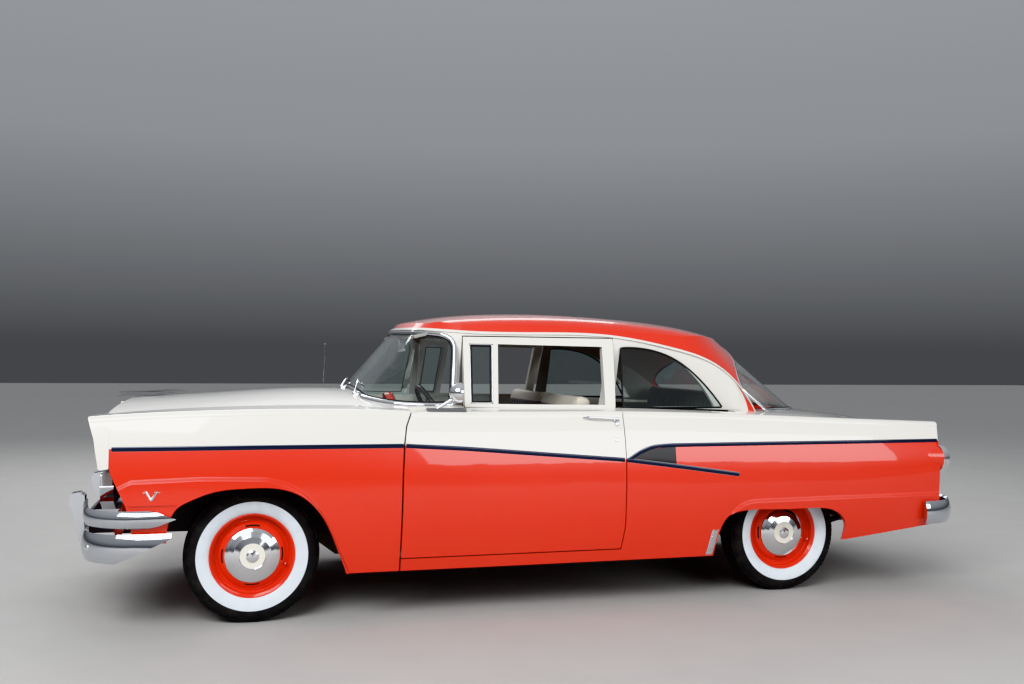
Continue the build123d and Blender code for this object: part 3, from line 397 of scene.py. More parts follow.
TYRE_RADIUS = 0.328
SHOULDER = [  # across from the tyre's middle, radius
    (0.058, 0.197), (0.07, 0.203), (0.0845, 0.222), (0.0915, 0.246), (0.093, 0.268), (0.089, 0.29),
    (0.08, 0.306), (0.07, 0.3155), (0.06, 0.319), (0.03, 0.32),
]
CARCASS = [(-across, radius) for across, radius in SHOULDER] + [(0, 0.3203)] + SHOULDER[::-1]
TREAD_RIBS = [  # start and end across, radius of the top
    (-0.066, -0.045, 0.3235), (-0.04, -0.016, 0.3268), (-0.011, 0.011, 0.3275),
    (0.016, 0.04, 0.3268), (0.045, 0.066, 0.3235),
]
TREAD_FOOT, TREAD_PITCHES = 0.316, 76
pitch = 2 * math.pi * TYRE_RADIUS / TREAD_PITCHES

for corner in CORNERS:
    rubber = Finish("tyre_rubber_" + corner, roughness=0.72, Specular_IOR_Level=0.35)
    r = radius_from(rubber, corner)
    white_band = within(r, WHITEWALL, 0.001)
    grime = rubber.noise(22.0).ramp(0.35, 0.8)
    rubber.set("Base Color", rubber.mix(white_band,
        rubber.mix(grime, (0.014, 0.014, 0.015), (0.035, 0.033, 0.032)),
        rubber.mix(grime, (0.74, 0.8, 0.86), (0.66, 0.71, 0.76))))
    rubber.set("Roughness", 0.75 - white_band * 0.3)
    rubber.bump(rubber.noise(500.0), 0.15, 0.0004)
    centre = hub_of(corner)
    carcass = fit("carcass_" + corner, turned(CARCASS, centre, (0, 1, 0), 96), "wheel_" + corner, rubber)
    ribs = [((-pitch * 0.44 + skew, start, TREAD_FOOT), (pitch * 0.44 + skew, end, top))
        for (start, end, top), skew in zip(TREAD_RIBS, (0, pitch * 0.3, 0, -pitch * 0.3, 0))]
    tread = ring_of.grow("tread_" + corner, blocks(ribs, 0.0012), "wheel_" + corner, rubber,
        Count=TREAD_PITCHES, Centre=centre)
    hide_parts("tyre_" + corner)

CORAL = (0.74, 0.036, 0.012)
for corner in CORNERS:
    rim_paint = Finish("rim_paint_" + corner, roughness=0.3, Coat_Weight=0.8, Coat_Roughness=0.08)
    r = radius_from(rim_paint, corner)
    lean = ((rim_paint.x - hub_of(corner).x) / r) ** 2  # squared cosine of the angle round the wheel
    # The slots are painted shade: near-black colour, pressed in by the bump, where the rim's openings would
    # show the shaded drum behind. No hole is cut.
    slot = (lean * lean * 8.0 - lean * 8.0 + 1.0).ramp(0.55, 0.62) * within(r, RIM_SLOT_SHADE)
    rim_paint.set("Base Color", rim_paint.mix(slot, CORAL, (0.012, 0.006, 0.005)))
    rim_paint.set("Roughness", 0.3 + slot * 0.5)
    beads = (r * 420.0).wave() * r.ramp(0.16, 0.164)
    rim_paint.bump(beads + rim_paint.noise(700.0) * 0.01 - slot, 0.6, 0.002)
    wear("rim_" + corner, rim_paint)

for corner in CORNERS:
    cap = Finish("cap_chrome_" + corner)
    r = radius_from(cap, corner)
    ring = within(r, CAP_RING)
    cap.set("Base Color", cap.mix(ring, (0.82, 0.83, 0.85), (0.8, 0.78, 0.7)))
    cap.set("Metallic", 1 - ring)
    cap.set("Roughness", 0.06 + ring * 0.3 + cap.noise(40.0) * 0.04)
    wear("hubcap_" + corner, cap)
    middle, side = hub_of(corner), -1 if corner.endswith("left") else 1
    rim_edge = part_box("rim_" + corner)[0 if side < 0 else 1].y
    stem = turned([(-0.03, 0), (-0.03, 0.0045), (0.004, 0.0045), (0.005, 0.0038), (0.014, 0.0038),
        (0.015, 0)], (middle.x + 0.158, rim_edge - side * 0.012, middle.z - 0.045), (0, side, 0), 14)
    fit("valve_stem_" + corner, stem, "wheel_" + corner, cap)

# Body panels. Pressed steel skins, sprayed in two colours: coral red below the side mouldings and on
# the roof, ivory above them and round the windows. The clear top coat has a faint orange peel.

IVORY = (0.78, 0.765, 0.72)
TONE_LINE = [  # x in metres from the car's middle, height of the line between the two colours
    (-2.4, 0.868), (-0.91, 0.866), (0.05, 0.795), (0.266, 0.776), (0.312, 0.795), (0.416, 0.846),
    (2.6, 0.848),
]
CREASE = [  # x, height of the pressed line over each wheel arch
    (-2.3, 0.655), (-2.2, 0.712), (-1.88, 0.722), (-1.58, 0.714), (-1.48, 0.686), (-1.397, 0.636),
    (-1.328, 0.56), (-1.278, 0.464), (-1.18, 0.24), (-1.0, 0.1), (0.76, 0.1), (0.81, 0.29),
    (0.838, 0.396), (0.886, 0.472), (0.94, 0.514), (1.005, 0.536), (1.577, 0.541), (2.3, 0.541),
]
LINE_REACH = 2.6  # how far ahead of the car's middle and behind it such a line may run


def height_line(finish, points):
    """The height of a line along the car, from its (x, height) points, as a value of the finish."""
    whole = 2 * LINE_REACH
    return finish.node("ShaderNodeFloatCurve", {"points": [((x + LINE_REACH) / whole, z) for x, z in points]},
        {"Value": (finish.x + LINE_REACH) / whole})


def shade(colour, share):
    """A colour made darker or lighter."""
    return tuple(c * share for c in colour)


def body_paint(name, tone=None):
    """Glossy paint of one colour, or of both with the line between them along the side."""
    paint = Finish(name, roughness=0.32, Coat_Weight=1.0, Coat_Roughness=0.03)
    fade = paint.noise(2.0)
    red = paint.mix(fade, CORAL, shade(CORAL, 0.93))
    white = paint.mix(fade, IVORY, shade(IVORY, 0.96))
    if tone is None:
        paint.set("Base Color", paint.mix(paint.z > height_line(paint, TONE_LINE), red, white))
        below = 1 - (paint.z - height_line(paint, CREASE)).ramp(-0.012, 0.014)
        paint.bump(below + paint.noise(420.0) * 0.02, 1.0, 0.01)
    else:
        paint.set("Base Color", red if tone == "red" else white)
        paint.bump(paint.noise(420.0), 0.035, 0.0003)
    return paint


side_paint = body_paint("side_paint")
red_paint, white_paint = body_paint("red_paint", "red"), body_paint("white_paint", "white")
for name in ("fender_front_left", "fender_front_right", "door_left", "door_right", "quarter_left",
        "quarter_right", "rear_panel"):
    wear(name, side_paint)
wear("dashboard", red_paint)
for name in ("hood", "decklid", "headlamp_panel"):
    wear(name, white_paint)
cowl_paint = body_paint("cowl_paint", "white")
inside = (1.035 - cowl_paint.z).ramp(0.0, 0.004) * (cowl_paint.x + 1.165).ramp(0.0, 0.002).least(
    (-0.88 - cowl_paint.x).ramp(0.0, 0.002).most((0.7 - abs(cowl_paint.y)).ramp(0.0, 0.01)))
cowl_paint.set("Base Color", cowl_paint.mix(inside, IVORY, (0.018, 0.018, 0.019)))
cowl_paint.set("Roughness", 0.32 + inside * 0.25)
cowl_paint.set("Coat Weight", 1 - inside)
wear("cowl", cowl_paint)
wear("drip_rail", white_paint)

# Closing panels. Pressed steel sheets painted with the body: valances between each fender's front edge
# and the grille, a gravel pan below the grille, a strip beside the rear panel and the hood's front lip.

UP, DOWN, REARWARD = Vector((0, 0, 1)), Vector((0, 0, -1)), Vector((1, 0, 0))
SIDES = (("left", -1), ("right", 1))
RAY_START, RAY_TOP = 1.5, 1.8  # where rays to the car start, beyond its sides and its roof


def surface(node):
    """The faces of a CAD node, to send rays at."""
    bm = bmesh.new()
    bm.from_mesh(cad[node].data)
    tree = BVHTree.FromBMesh(bm)
    bm.free()
    return tree


def top_of(tree, x, y):
    """The highest point of a surface at a place seen from above."""
    return tree.ray_cast(Vector((x, y, RAY_TOP)), DOWN)[0]


def span(bm, one, other, closed=False):
    """Faces between two rows of as many corners."""
    for i in range(len(one) if closed else len(one) - 1):
        j = (i + 1) % len(one)
        bm.faces.new((one[i], one[j], other[j], other[i]))


def sheet(name, grid, body, finish, thick=0.0015):
    """A thin closed sheet over rows of points."""
    bm = bmesh.new()
    rows = [[bm.verts.new(p) for p in row] for row in grid]
    for one, other in zip(rows, rows[1:]):
        span(bm, one, other)
    bmesh.ops.recalc_face_normals(bm, faces=bm.faces[:])
    bmesh.ops.solidify(bm, geom=bm.faces[:], thickness=thick)
    return fit(name, mesh_of(bm), body, finish)


FENDER_EDGE = [  # height, x and y of the fender's front edge
    (0.47, -2.182, 0.921), (0.5, -2.189, 0.923), (0.54, -2.197, 0.925), (0.58, -2.205, 0.926),
    (0.62, -2.22, 0.926), (0.66, -2.24, 0.925), (0.7, -2.256, 0.923), (0.74, -2.276, 0.919),
    (0.79, -2.288, 0.913),
]
for side, sign in SIDES:
    grid = []
    for z, x, y in FENDER_EDGE:
        edge, grille_end = Vector((x, sign * y, z)), Vector((-2.232, sign * 0.66, z))
        grid.append([edge.lerp(grille_end, i / 8) + REARWARD * 0.012 * math.sin(math.pi * i / 8)
            for i in range(9)])
    sheet(f"valance_{side}", grid, "body", side_paint)
FOURTHS = [i / 4 for i in range(5)]
PAN_HALF, PAN_BACK = 0.87, -2.236
pan = []
for i in range(37):
    y = PAN_HALF * (i / 18 - 1)
    bow = (y / PAN_HALF) ** 2
    reach = 0.105 * (1 - bow)
    pan.append([Vector((PAN_BACK - reach * t, y, 0.474 - 0.034 * t ** 1.5 - 0.006 * bow))
        for t in FOURTHS] + [Vector((PAN_BACK - 0.002 - reach, y, 0.406))])
sheet("gravel_pan", pan, "body", side_paint)
for side, sign in SIDES:
    grid = [[Vector((2.256 - 0.01 * t, sign * (0.857 + 0.042 * t), 0.43 + 0.042 * k))
        for t in (0, 1 / 3, 2 / 3, 1)] for k in range(11)]
    sheet(f"rear_closing_{side}", grid, "body", side_paint)
hood_top = surface("hood")
lip = []
for i in range(45):
    y = 0.286 * (i / 22 - 1)
    fore, aft = (top_of(hood_top, x, y) for x in (-2.314, -2.286))
    lip.append([fore.lerp(aft, t) + UP * 0.0012 * math.sin(math.pi * t) for t in FOURTHS])
sheet("hood_lip", lip, "hood", white_paint)

# Side mouldings. Half-round bright strips, clipped over the joint of the two colours, each cut at the panel
# gaps, with a painted dark reflection along their middle. Behind the door a second strip starts in a point,
# with a dark ribbed plate between the two.


def line_mesh(points):
    """A row of joined points, for a tree to sweep along."""
    mesh = bpy.data.meshes.new("line")
    mesh.from_pydata(points, [(i, i + 1) for i in range(len(points) - 1)], [])
    return mesh


strip = Growth("clipped_strip", Panel="Object", Side="Float", Width="Float", Height="Float",
    Taper_Start="Float", Taper_End="Float")
path = strip.node("GeometryNodeMeshToCurve", None, {0: strip.input("Geometry")})
path = strip.node("GeometryNodeCurveSplineType", {"spline_type": "CATMULL_ROM"}, {0: path})
path = strip.node("GeometryNodeResampleCurve", {"mode": "LENGTH"}, {"Curve": path, "Length": 0.012})
panel = strip.node(
    "GeometryNodeObjectInfo", {"transform_space": "RELATIVE"}, {0: strip.input("Panel")}, "Geometry")
inward = strip.node("ShaderNodeCombineXYZ", None, {0: 0.0, 1: -strip.input("Side"), 2: 0.0})
ray = strip.tree.nodes.new("GeometryNodeRaycast")
strip.tree.links.new(panel.socket, ray.inputs["Target Geometry"])
strip.tree.links.new(inward.socket, ray.inputs["Ray Direction"])
ray.inputs["Ray Length"].default_value = 1.0
hit = {o.name: Value(strip, o) for o in ray.outputs}
path = strip.node("GeometryNodeSetPosition", None, {"Geometry": path, "Position": hit["Hit Position"]})
path = strip.node("GeometryNodeSetCurveNormal", {"mode": "Z_UP"}, {"Curve": path})
along = strip.node("GeometryNodeSplineParameter", None, None, "Length")
whole_length = strip.node("GeometryNodeSplineLength", None, None, "Length")
start_taper = (along / strip.input("Taper_Start").most(0.0005)).least(1.0)
end_taper = ((whole_length - along) / strip.input("Taper_End").most(0.0005)).least(1.0)
path = strip.node(
    "GeometryNodeSetCurveRadius", None, {"Curve": path, "Radius": start_taper.least(end_taper).most(0.08)})
section = strip.node("GeometryNodeCurvePrimitiveCircle", None, {"Resolution": 16, "Radius": 1.0})
section_size = strip.node(
    "ShaderNodeCombineXYZ", None, {0: strip.input("Height"), 1: strip.input("Width") / 2, 2: 1.0})
section = strip.node("GeometryNodeTransform", None, {"Geometry": section, "Scale": section_size})
solid = strip.node(
    "GeometryNodeCurveToMesh", None, {"Curve": path, "Profile Curve": section, "Fill Caps": True})
strip.end(solid)

chrome = Finish("chrome", (0.84, 0.85, 0.87), 0.05, 1.0)
chrome.set("Roughness", 0.035 + chrome.noise(12.0).ramp(0.4, 0.8) * 0.06)

LOWER_STRIP = [(-2.283, 0.866), (-1.6, 0.8665), (-0.911, 0.865), (-0.6, 0.846), (-0.16, 0.81), (0.266, 0.775),
    (0.6, 0.731), (0.925, 0.685)]
UPPER_STRIP = [(0.285, 0.777), (0.345, 0.812), (0.416, 0.838), (0.52, 0.847), (0.9, 0.8485), (1.6, 0.8485),
    (2.245, 0.847)]
LINE_PLACE = 1.3  # how far out the lines stand that the strips are cast from
STRIP_CUTS = [  # node, body, where it starts and ends
    ("fender_front", "body", -2.283, -0.92),
    ("door", "door", -0.908, 0.258),
    ("quarter", "body", 0.272, 0.925),
]


def height_at(points, x):
    """The height of a line at an x, straight between its points."""
    return next(a[1] + (b[1] - a[1]) * (x - a[0]) / (b[0] - a[0]) for a, b in zip(points, points[1:])
        if a[0] <= x <= b[0])


def between(points, start, end):
    """The run of a line from one x to another, cut at both."""
    return ([(start, height_at(points, start))] + [p for p in points if start < p[0] < end]
            + [(end, height_at(points, end))])


# Painted reflection: the strips' middle is coloured dark navy and made only half metallic, to stand for the
# dark ground mirrored in them. Only the edges keep bright chrome.
strip_finish = Finish("strip_steel_and_enamel", roughness=0.1, metallic=1.0)
off_lower, off_upper = (
    abs(strip_finish.z - height_line(strip_finish, line)) for line in (LOWER_STRIP, UPPER_STRIP))
bright_edge = off_lower.least(off_upper).ramp(0.0098, 0.0108)
strip_finish.set("Base Color", strip_finish.mix(bright_edge, (0.02, 0.026, 0.055), (0.84, 0.85, 0.87)))
strip_finish.set("Metallic", 0.35 + bright_edge * 0.65)
for side, sign in SIDES:
    for node, body, start, end in STRIP_CUTS:
        run = [(x, sign * LINE_PLACE, z) for x, z in between(LOWER_STRIP, start, end)]
        strip.grow(f"strip_{node}_{side}", line_mesh(run), body if body == "body" else f"{body}_{side}",
            strip_finish, Panel=cad[f"{node}_{side}"], Side=float(sign), Width=0.025, Height=0.0045,
            Taper_Start=0.02 if node == "fender_front" else 0.0, Taper_End=0.33 if node == "quarter" else 0.0)
    run = [(x, sign * LINE_PLACE, z) for x, z in UPPER_STRIP]
    strip.grow(f"strip_upper_{side}", line_mesh(run), "body", strip_finish, Panel=cad[f"quarter_{side}"],
        Side=float(sign), Width=0.024, Height=0.0045, Taper_Start=0.06, Taper_End=0.0)

# Door handles. A plated cast pull bar is bolted to the door's skin on two feet, with a push button at
# its rear foot and a round lock lower down.


def skin_at(node, x, z, sign):
    """The point and normal of a panel's outer face at a place seen from the side."""
    return surface(node).ray_cast(Vector((x, sign * RAY_START, z)), Vector((0, -sign, 0)))[:2]


def loft(rings, ring=False):
    """A skin over closed rows of as many points. The last joins the first, or both ends are capped."""
    bm = bmesh.new()
    rows = [[bm.verts.new(p) for p in row] for row in rings]
    for one, other in zip(rows, rows[1:] + (rows[:1] if ring else [])):
        span(bm, one, other, True)
    if not ring:
        bm.faces.new(rows[0])
        bm.faces.new(rows[-1])
    return mesh_of(bm)


def joined(meshes):
    """Several meshes as one."""
    bm = bmesh.new()
    for mesh in meshes:
        bm.from_mesh(mesh)
    whole = bpy.data.meshes.new("whole")
    bm.to_mesh(whole)
    bm.free()
    return whole


HANDLE = [  # x, height, half thickness, half height, distance from the skin
    (0.036, 0.9935, 0.003, 0.004, 0.01), (0.06, 0.9925, 0.0045, 0.007, 0.015),
    (0.11, 0.9895, 0.005, 0.008, 0.018), (0.17, 0.9865, 0.005, 0.0075, 0.017),
    (0.205, 0.985, 0.005, 0.0085, 0.014), (0.238, 0.9835, 0.006, 0.01, 0.01),
]
for side, sign in SIDES:
    node = f"door_{side}"
    rings = []
    for x, z, thick, tall, away in HANDLE:
        point, normal = skin_at(node, x, z, sign)
        middle = point + normal * away
        rings.append([middle + normal * thick * math.cos(t) + Vector((0, 0, tall)) * math.sin(t)
            for t in full_turn(14)])
    feet = []
    for x, z, size in ((0.055, 0.9925, 0.007), (0.222, 0.984, 0.012)):
        point, normal = skin_at(node, x, z, sign)
        feet.append(turned([(-0.003, 0), (-0.003, size * 1.5), (0.002, size * 1.4), (0.006, size),
            (0.014, size * 0.8), (0.014, 0)], point, normal, 20))
    point, normal = skin_at(node, 0.222, 0.964, sign)
    button = turned([(-0.003, 0), (-0.003, 0.013), (0.012, 0.012), (0.018, 0.0095), (0.0195, 0.004),
        (0.0195, 0)], point, normal, 28)
    point, normal = skin_at(node, 0.218, 0.88, sign)
    lock = turned([(-0.003, 0), (-0.003, 0.0125), (0.002, 0.012), (0.004, 0.009), (0.004, 0.006),
        (0.0032, 0.0055), (0.0032, 0)], point, normal, 28)
    fit(f"handle_{side}", joined([loft(rings)] + feet + [button, lock]), node, chrome, 45)

# Bright work. Bumpers, grille, mirror and ornament are steel and die castings under hard chrome, with
# the faint haze of old polish.

bumper_chrome = Finish("bumper_chrome", (0.66, 0.68, 0.72), 0.05, 1.0)
bumper_chrome.set("Roughness", 0.04 + bumper_chrome.noise(9.0).ramp(0.4, 0.8) * 0.06)
for name in ("bumper_front", "bumper_rear", "grille"):
    wear(name, bumper_chrome)
for name in ("hood_ornament", "door_mirror"):
    wear(name, chrome)

# Glass. Clear panes of laminated glass, slightly green with age, cut to shape and pressed into rubber.
# The windshield and the rear window are each bent in one piece, and the side panes are flat.


def clear_glass(name, tint):
    """A thin pane: what is behind shows through the tint, and the surface mirrors at low angles."""
    glass = Finish(name)
    tree = glass.tree
    through = glass.node("ShaderNodeBsdfTransparent", None, {"Color": (*tint, 1)})
    mirror = glass.node("ShaderNodeBsdfGlossy", None, {"Color": (1, 1, 1, 1), "Roughness": 0.02})
    facing = glass.node("ShaderNodeLayerWeight", None, {"Blend": 0.5}, 1) ** 5.0 * 0.9 + 0.05
    blend = glass.node("ShaderNodeMixShader", None, {0: facing, 1: through, 2: mirror})
    tree.links.new(blend.socket, tree.nodes["Material Output"].inputs["Surface"])
    return glass


window_glass = clear_glass("window_glass", (0.9, 0.94, 0.93))
for name in ("windshield", "rear_window", "quarter_glass", "vent_window_left", "vent_window_right"):
    wear(name, window_glass)

# Window surrounds. The two bent screens sit in wide bright frames, and the side windows in black rubber, the
# vent windows with a thin bright edge as well, each pressed round the real opening.


def outline_of(node, start, towards, smooth=28):
    """The closed edges of the smooth face that a straight line first meets, as rings of (point, normal)."""
    bm = bmesh.new()
    bm.from_mesh(cad[node].data)
    bmesh.ops.remove_doubles(bm, verts=bm.verts[:], dist=2e-5)
    bm.faces.ensure_lookup_table()
    first = bm.faces[BVHTree.FromBMesh(bm).ray_cast(Vector(start), Vector(towards))[2]]
    patch, front = {first}, [first]
    while front:
        for edge in front.pop().edges:
            for face in edge.link_faces:
                if face not in patch and edge.calc_face_angle(0) < math.radians(smooth):
                    patch.add(face)
                    front.append(face)
    rim = dict.fromkeys(
        e for f in bm.faces if f in patch for e in f.edges if any(g not in patch for g in e.link_faces))
    rings = []
    while rim:
        edge = next(iter(rim))
        del rim[edge]
        ring = [edge.verts[0], edge.verts[1]]
        while step := next((e for e in ring[-1].link_edges if e in rim), None):
            del rim[step]
            ring.append(step.other_vert(ring[-1]))
        lean = [sum((f.normal * f.calc_area() for f in v.link_faces if f in patch), Vector()).normalized()
                for v in ring[:-1]]
        rings.append([(v.co.copy(), n) for v, n in zip(ring, lean)])
    bm.free()
    return sorted(rings, key=lambda ring: -sum((a[0] - b[0]).length for a, b in zip(ring, ring[1:])))


def even(ring, step, rounds=2):
    """The same ring with evenly spaced points and slightly rounded corners."""
    loop = ring + ring[:1]
    points, left = [], 0.0
    for (a, n), (b, m) in zip(loop, loop[1:]):
        run = (b - a).length
        while left < run:
            t = left / run
            points.append((a.lerp(b, t), n.lerp(m, t).normalized()))
            left += step
        left -= run
    for _ in range(rounds):
        points = [((points[i - 1][0] + p * 2 + points[(i + 1) % len(points)][0]) / 4, n)
            for i, (p, n) in enumerate(points)]
    return points


def band(name, ring, section, body, finish):
    """A strip swept round a ring. Its section lists offsets (towards the middle, out of the surface)."""
    count = len(ring)
    middle = sum((p for p, _ in ring), Vector()) / count
    runs = [(ring[(i + 1) % count][0] - ring[i - 1][0]).normalized() for i in range(count)]
    sides = [n.cross(t).normalized() for (_, n), t in zip(ring, runs)]
    if sum(side.dot(middle - p) for side, (p, _) in zip(sides, ring)) < 0:
        sides = [-side for side in sides]
    rows = [[p + side * a + n * b for a, b in section] for (p, n), side in zip(ring, sides)]
    return fit(name, loft(rows, ring=True), body, finish, 50)


def cushion_section(start, end, height):
    """A low arched section, closed underneath, between two offsets."""
    arch = [(start + (end - start) * i / 6, height * math.sin(math.pi * i / 6)) for i in range(1, 6)]
    return [(start, -0.002)] + arch + [(end, -0.002)]


gasket = Finish("gasket", (0.012, 0.012, 0.013), 0.6)
gasket.bump(gasket.noise(350.0), 0.2, 0.0003)

screen_ring = even(outline_of("windshield", (-2.5, 0, 1.25), REARWARD)[0], 0.016)
band("windshield_frame", screen_ring, cushion_section(-0.007, 0.026, 0.01), "body", chrome)
band("windshield_gasket", screen_ring, cushion_section(0.024, 0.031, 0.004), "body", gasket)

# The rear glass is carried down along its own slope from the solid's end to the deck.
deck, glass_end = surface("parcel_shelf"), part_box("rear_window")[1].x


def down_the_glass(place, normal):
    """The point where the glass, followed backwards down its slope, meets the deck."""
    way = Vector((normal.z, 0, -normal.x)).normalized()
    way *= 1 if way.x > 0 else -1
    hit = deck.ray_cast(place, way)[0]
    return place if hit is None or (hit - place).length > 0.25 else hit


rear_glass = bmesh.new()
rear_glass.from_mesh(cad["rear_window"].data)
bmesh.ops.remove_doubles(rear_glass, verts=rear_glass.verts[:], dist=2e-5)
end_faces = [
    f for f in rear_glass.faces if f.normal.x > 0.99 and min(v.co.x for v in f.verts) > glass_end - 2e-4]
end_points = {}
for v in dict.fromkeys(v for f in end_faces for v in f.verts):
    normal = sum((f.normal * f.calc_area() for f in v.link_faces if f not in end_faces), Vector())
    end_points[tuple(v.co)] = down_the_glass(v.co.copy(), normal)
end_rim = [e for e in dict.fromkeys(e for f in end_faces for e in f.edges)
    if any(f not in end_faces for f in e.link_faces)]
bmesh.ops.delete(rear_glass, geom=end_faces, context="FACES_ONLY")
grown = bmesh.ops.extrude_edge_only(rear_glass, edges=end_rim)["geom"]
for v in grown:
    if isinstance(v, bmesh.types.BMVert):
        v.co = end_points[tuple(v.co)]
open_edges = [e for e in grown if isinstance(e, bmesh.types.BMEdge) and e.is_boundary]
bmesh.ops.triangle_fill(rear_glass, use_beauty=True, edges=open_edges)
rear_pane = fit("rear_glass", mesh_of(rear_glass), "body", window_glass)
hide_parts("rear_window")

light_ring = even(outline_of("rear_window", (2.5, 0, 1.22), (-1, 0, 0))[0], 0.008)
light_ring = even(
    [(down_the_glass(p, n) if p.x > glass_end - 0.0015 else p, n) for p, n in light_ring], 0.016)
band("rear_window_frame", light_ring, cushion_section(-0.005, 0.02, 0.009), "body", chrome)
band("rear_window_gasket", light_ring, cushion_section(0.018, 0.025, 0.004), "body", gasket)

shelf_paint = body_paint("shelf_paint", "red")
foot = sorted((abs(p.y), p.x) for p, _ in light_ring if p.z < 1.1)
foot = [foot[round(i * (len(foot) - 1) / 9)] for i in range(10)]
glass_foot = shelf_paint.node(
    "ShaderNodeFloatCurve", {"points": [(y, x / 2) for y, x in foot]}, {"Value": abs(shelf_paint.y)})
shelf_paint.set("Base Color", shelf_paint.mix(shelf_paint.x > glass_foot * 2.0 - 0.008, CORAL, IVORY))
wear("parcel_shelf", shelf_paint)
for side, sign in SIDES:
    ring = even(outline_of("quarter_glass", (0.6, sign * RAY_START, 1.2), (0, -sign, 0))[0], 0.012, 1)
    band(f"quarter_gasket_{side}", ring, cushion_section(-0.004, 0.007, 0.006), "body", gasket)
    ring = even(outline_of(f"vent_window_{side}", (-0.46, sign * RAY_START, 1.2), (0, -sign, 0))[0], 0.012, 1)
    band(f"vent_frame_{side}", ring, cushion_section(-0.002, 0.01, 0.007), f"door_{side}", chrome)
    band(f"vent_gasket_{side}", ring, cushion_section(0.009, 0.017, 0.004), f"door_{side}", gasket)

# Lamps. Sealed beam headlamps with fluted lenses over a silvered bowl, oval parking lamps in the
# grille's ends, and round red tail lamps with ringed lenses, all in bright rims.

lens_glass = Finish("lens_glass", (0.86, 0.89, 0.9), 0.06, Coat_Weight=1.0, Alpha=0.5)
flutes = (lens_glass.y * 520.0).wave()
lens_glass.bump(flutes, 0.7, 0.002)
wear("headlamps", lens_glass)
lamp_red = Finish("lamp_red", (0.42, 0.008, 0.006), 0.12, Coat_Weight=0.6)
silvering = Finish("silvering", (0.88, 0.89, 0.9), 0.12, 1.0)
LAMP_SPOT, TAIL_SPOT, PARK_SPOT = (-2.3466, 0.782, 0.89), (2.262, 0.848, 0.742), (-2.318, 0.742, 0.676)
for side, sign in SIDES:
    spot = Vector(LAMP_SPOT) * Vector((1, sign, 1))
    bowl = turned([(0.1, 0), (0.098, 0.02), (0.086, 0.05), (0.068, 0.07), (0.052, 0.08), (0.054, 0.086),
        (0.072, 0.076), (0.09, 0.054), (0.102, 0.022), (0.104, 0)], spot, REARWARD, 48)
    fit(f"lamp_bowl_{side}", bowl, "body", silvering)
    rim = turned([(-0.002, 0.0935), (-0.01, 0.0925), (-0.015, 0.0885), (-0.012, 0.085), (-0.003, 0.0845)],
        spot, REARWARD, 56)
    fit(f"lamp_rim_{side}", rim, "body", chrome)
    spot = Vector(TAIL_SPOT) * Vector((1, sign, 1))
    rings = []
    for r in (0.02, 0.038, 0.056):
        rings += [(0.05 - r * 0.22, r - 0.0035), (0.0535 - r * 0.22, r), (0.05 - r * 0.22, r + 0.0035)]
    lens = turned([(0.05, 0), *rings, (0.034, 0.068), (0.018, 0.072), (0.018, 0)], spot, REARWARD, 56)
    lens_piece = fit(f"tail_lens_{side}", lens, "body", lamp_red)
    tail_rim = turned([(0.0, 0.0735), (0.0, 0.0835), (0.034, 0.0825), (0.044, 0.078), (0.042, 0.0715),
        (0.03, 0.069), (0.018, 0.0725)], spot, REARWARD, 56)
    fit(f"tail_rim_{side}", tail_rim, "body", chrome)
    if side == "left":
        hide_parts("tail_lamps")
    spot = Vector(PARK_SPOT) * Vector((1, sign, 1))
    oval = Matrix.Translation(spot) @ Matrix.Diagonal((1, 0.058, 0.036, 1)) @ Matrix.Translation(-spot)
    park = turned([(-0.02, 0), (-0.018, 0.5), (-0.012, 0.8), (0, 0.92), (0, 0)], spot, REARWARD, 40)
    park.transform(oval)
    fit(f"park_lens_{side}", park, "body", lens_glass)
    park_rim = turned(
        [(0, 1.12), (-0.012, 1.08), (-0.014, 0.96), (-0.006, 0.88), (0.004, 0.9)], spot, REARWARD, 40)
    park_rim.transform(oval)
    fit(f"park_rim_{side}", park_rim, "body", chrome)

# Trim on the sides. A dark ribbed plate between the two strips, a bright louvred stone shield ahead
# of each rear wheel, and a small plain chevron near each front corner.


def board(front, back):
    """A closed plate between two grids of points."""
    bm = bmesh.new()
    front, back = ([[bm.verts.new(p) for p in row] for row in grid] for grid in (front, back))
    for grid in (front, back):
        for one, other in zip(grid, grid[1:]):
            span(bm, one, other)
    for end in (0, -1):
        span(bm, front[end], back[end])
        span(bm, [row[end] for row in front], [row[end] for row in back])
    return mesh_of(bm)


def skin_plate(name, node, sign, spots, finish, height):
    """A thin plate on a panel: spots is a grid of (x, z), and height gives what stands out inside its rim."""
    skin = surface(node)
    front, back = [], []
    for j, row in enumerate(spots):
        points = [skin.ray_cast(Vector((x, sign * RAY_START, z)), Vector((0, -sign, 0)))[0] for x, z in row]
        lifts = [height(i, j) if 0 < j < len(spots) - 1 and 0 < i < len(row) - 1 else 0.0006
            for i in range(len(row))]
        front.append([p + Vector((0, sign * lift, 0)) for p, lift in zip(points, lifts)])
        back.append([p - Vector((0, sign * 0.002, 0)) for p in points])
    return fit(name, board(front, back), "body", finish, 35)


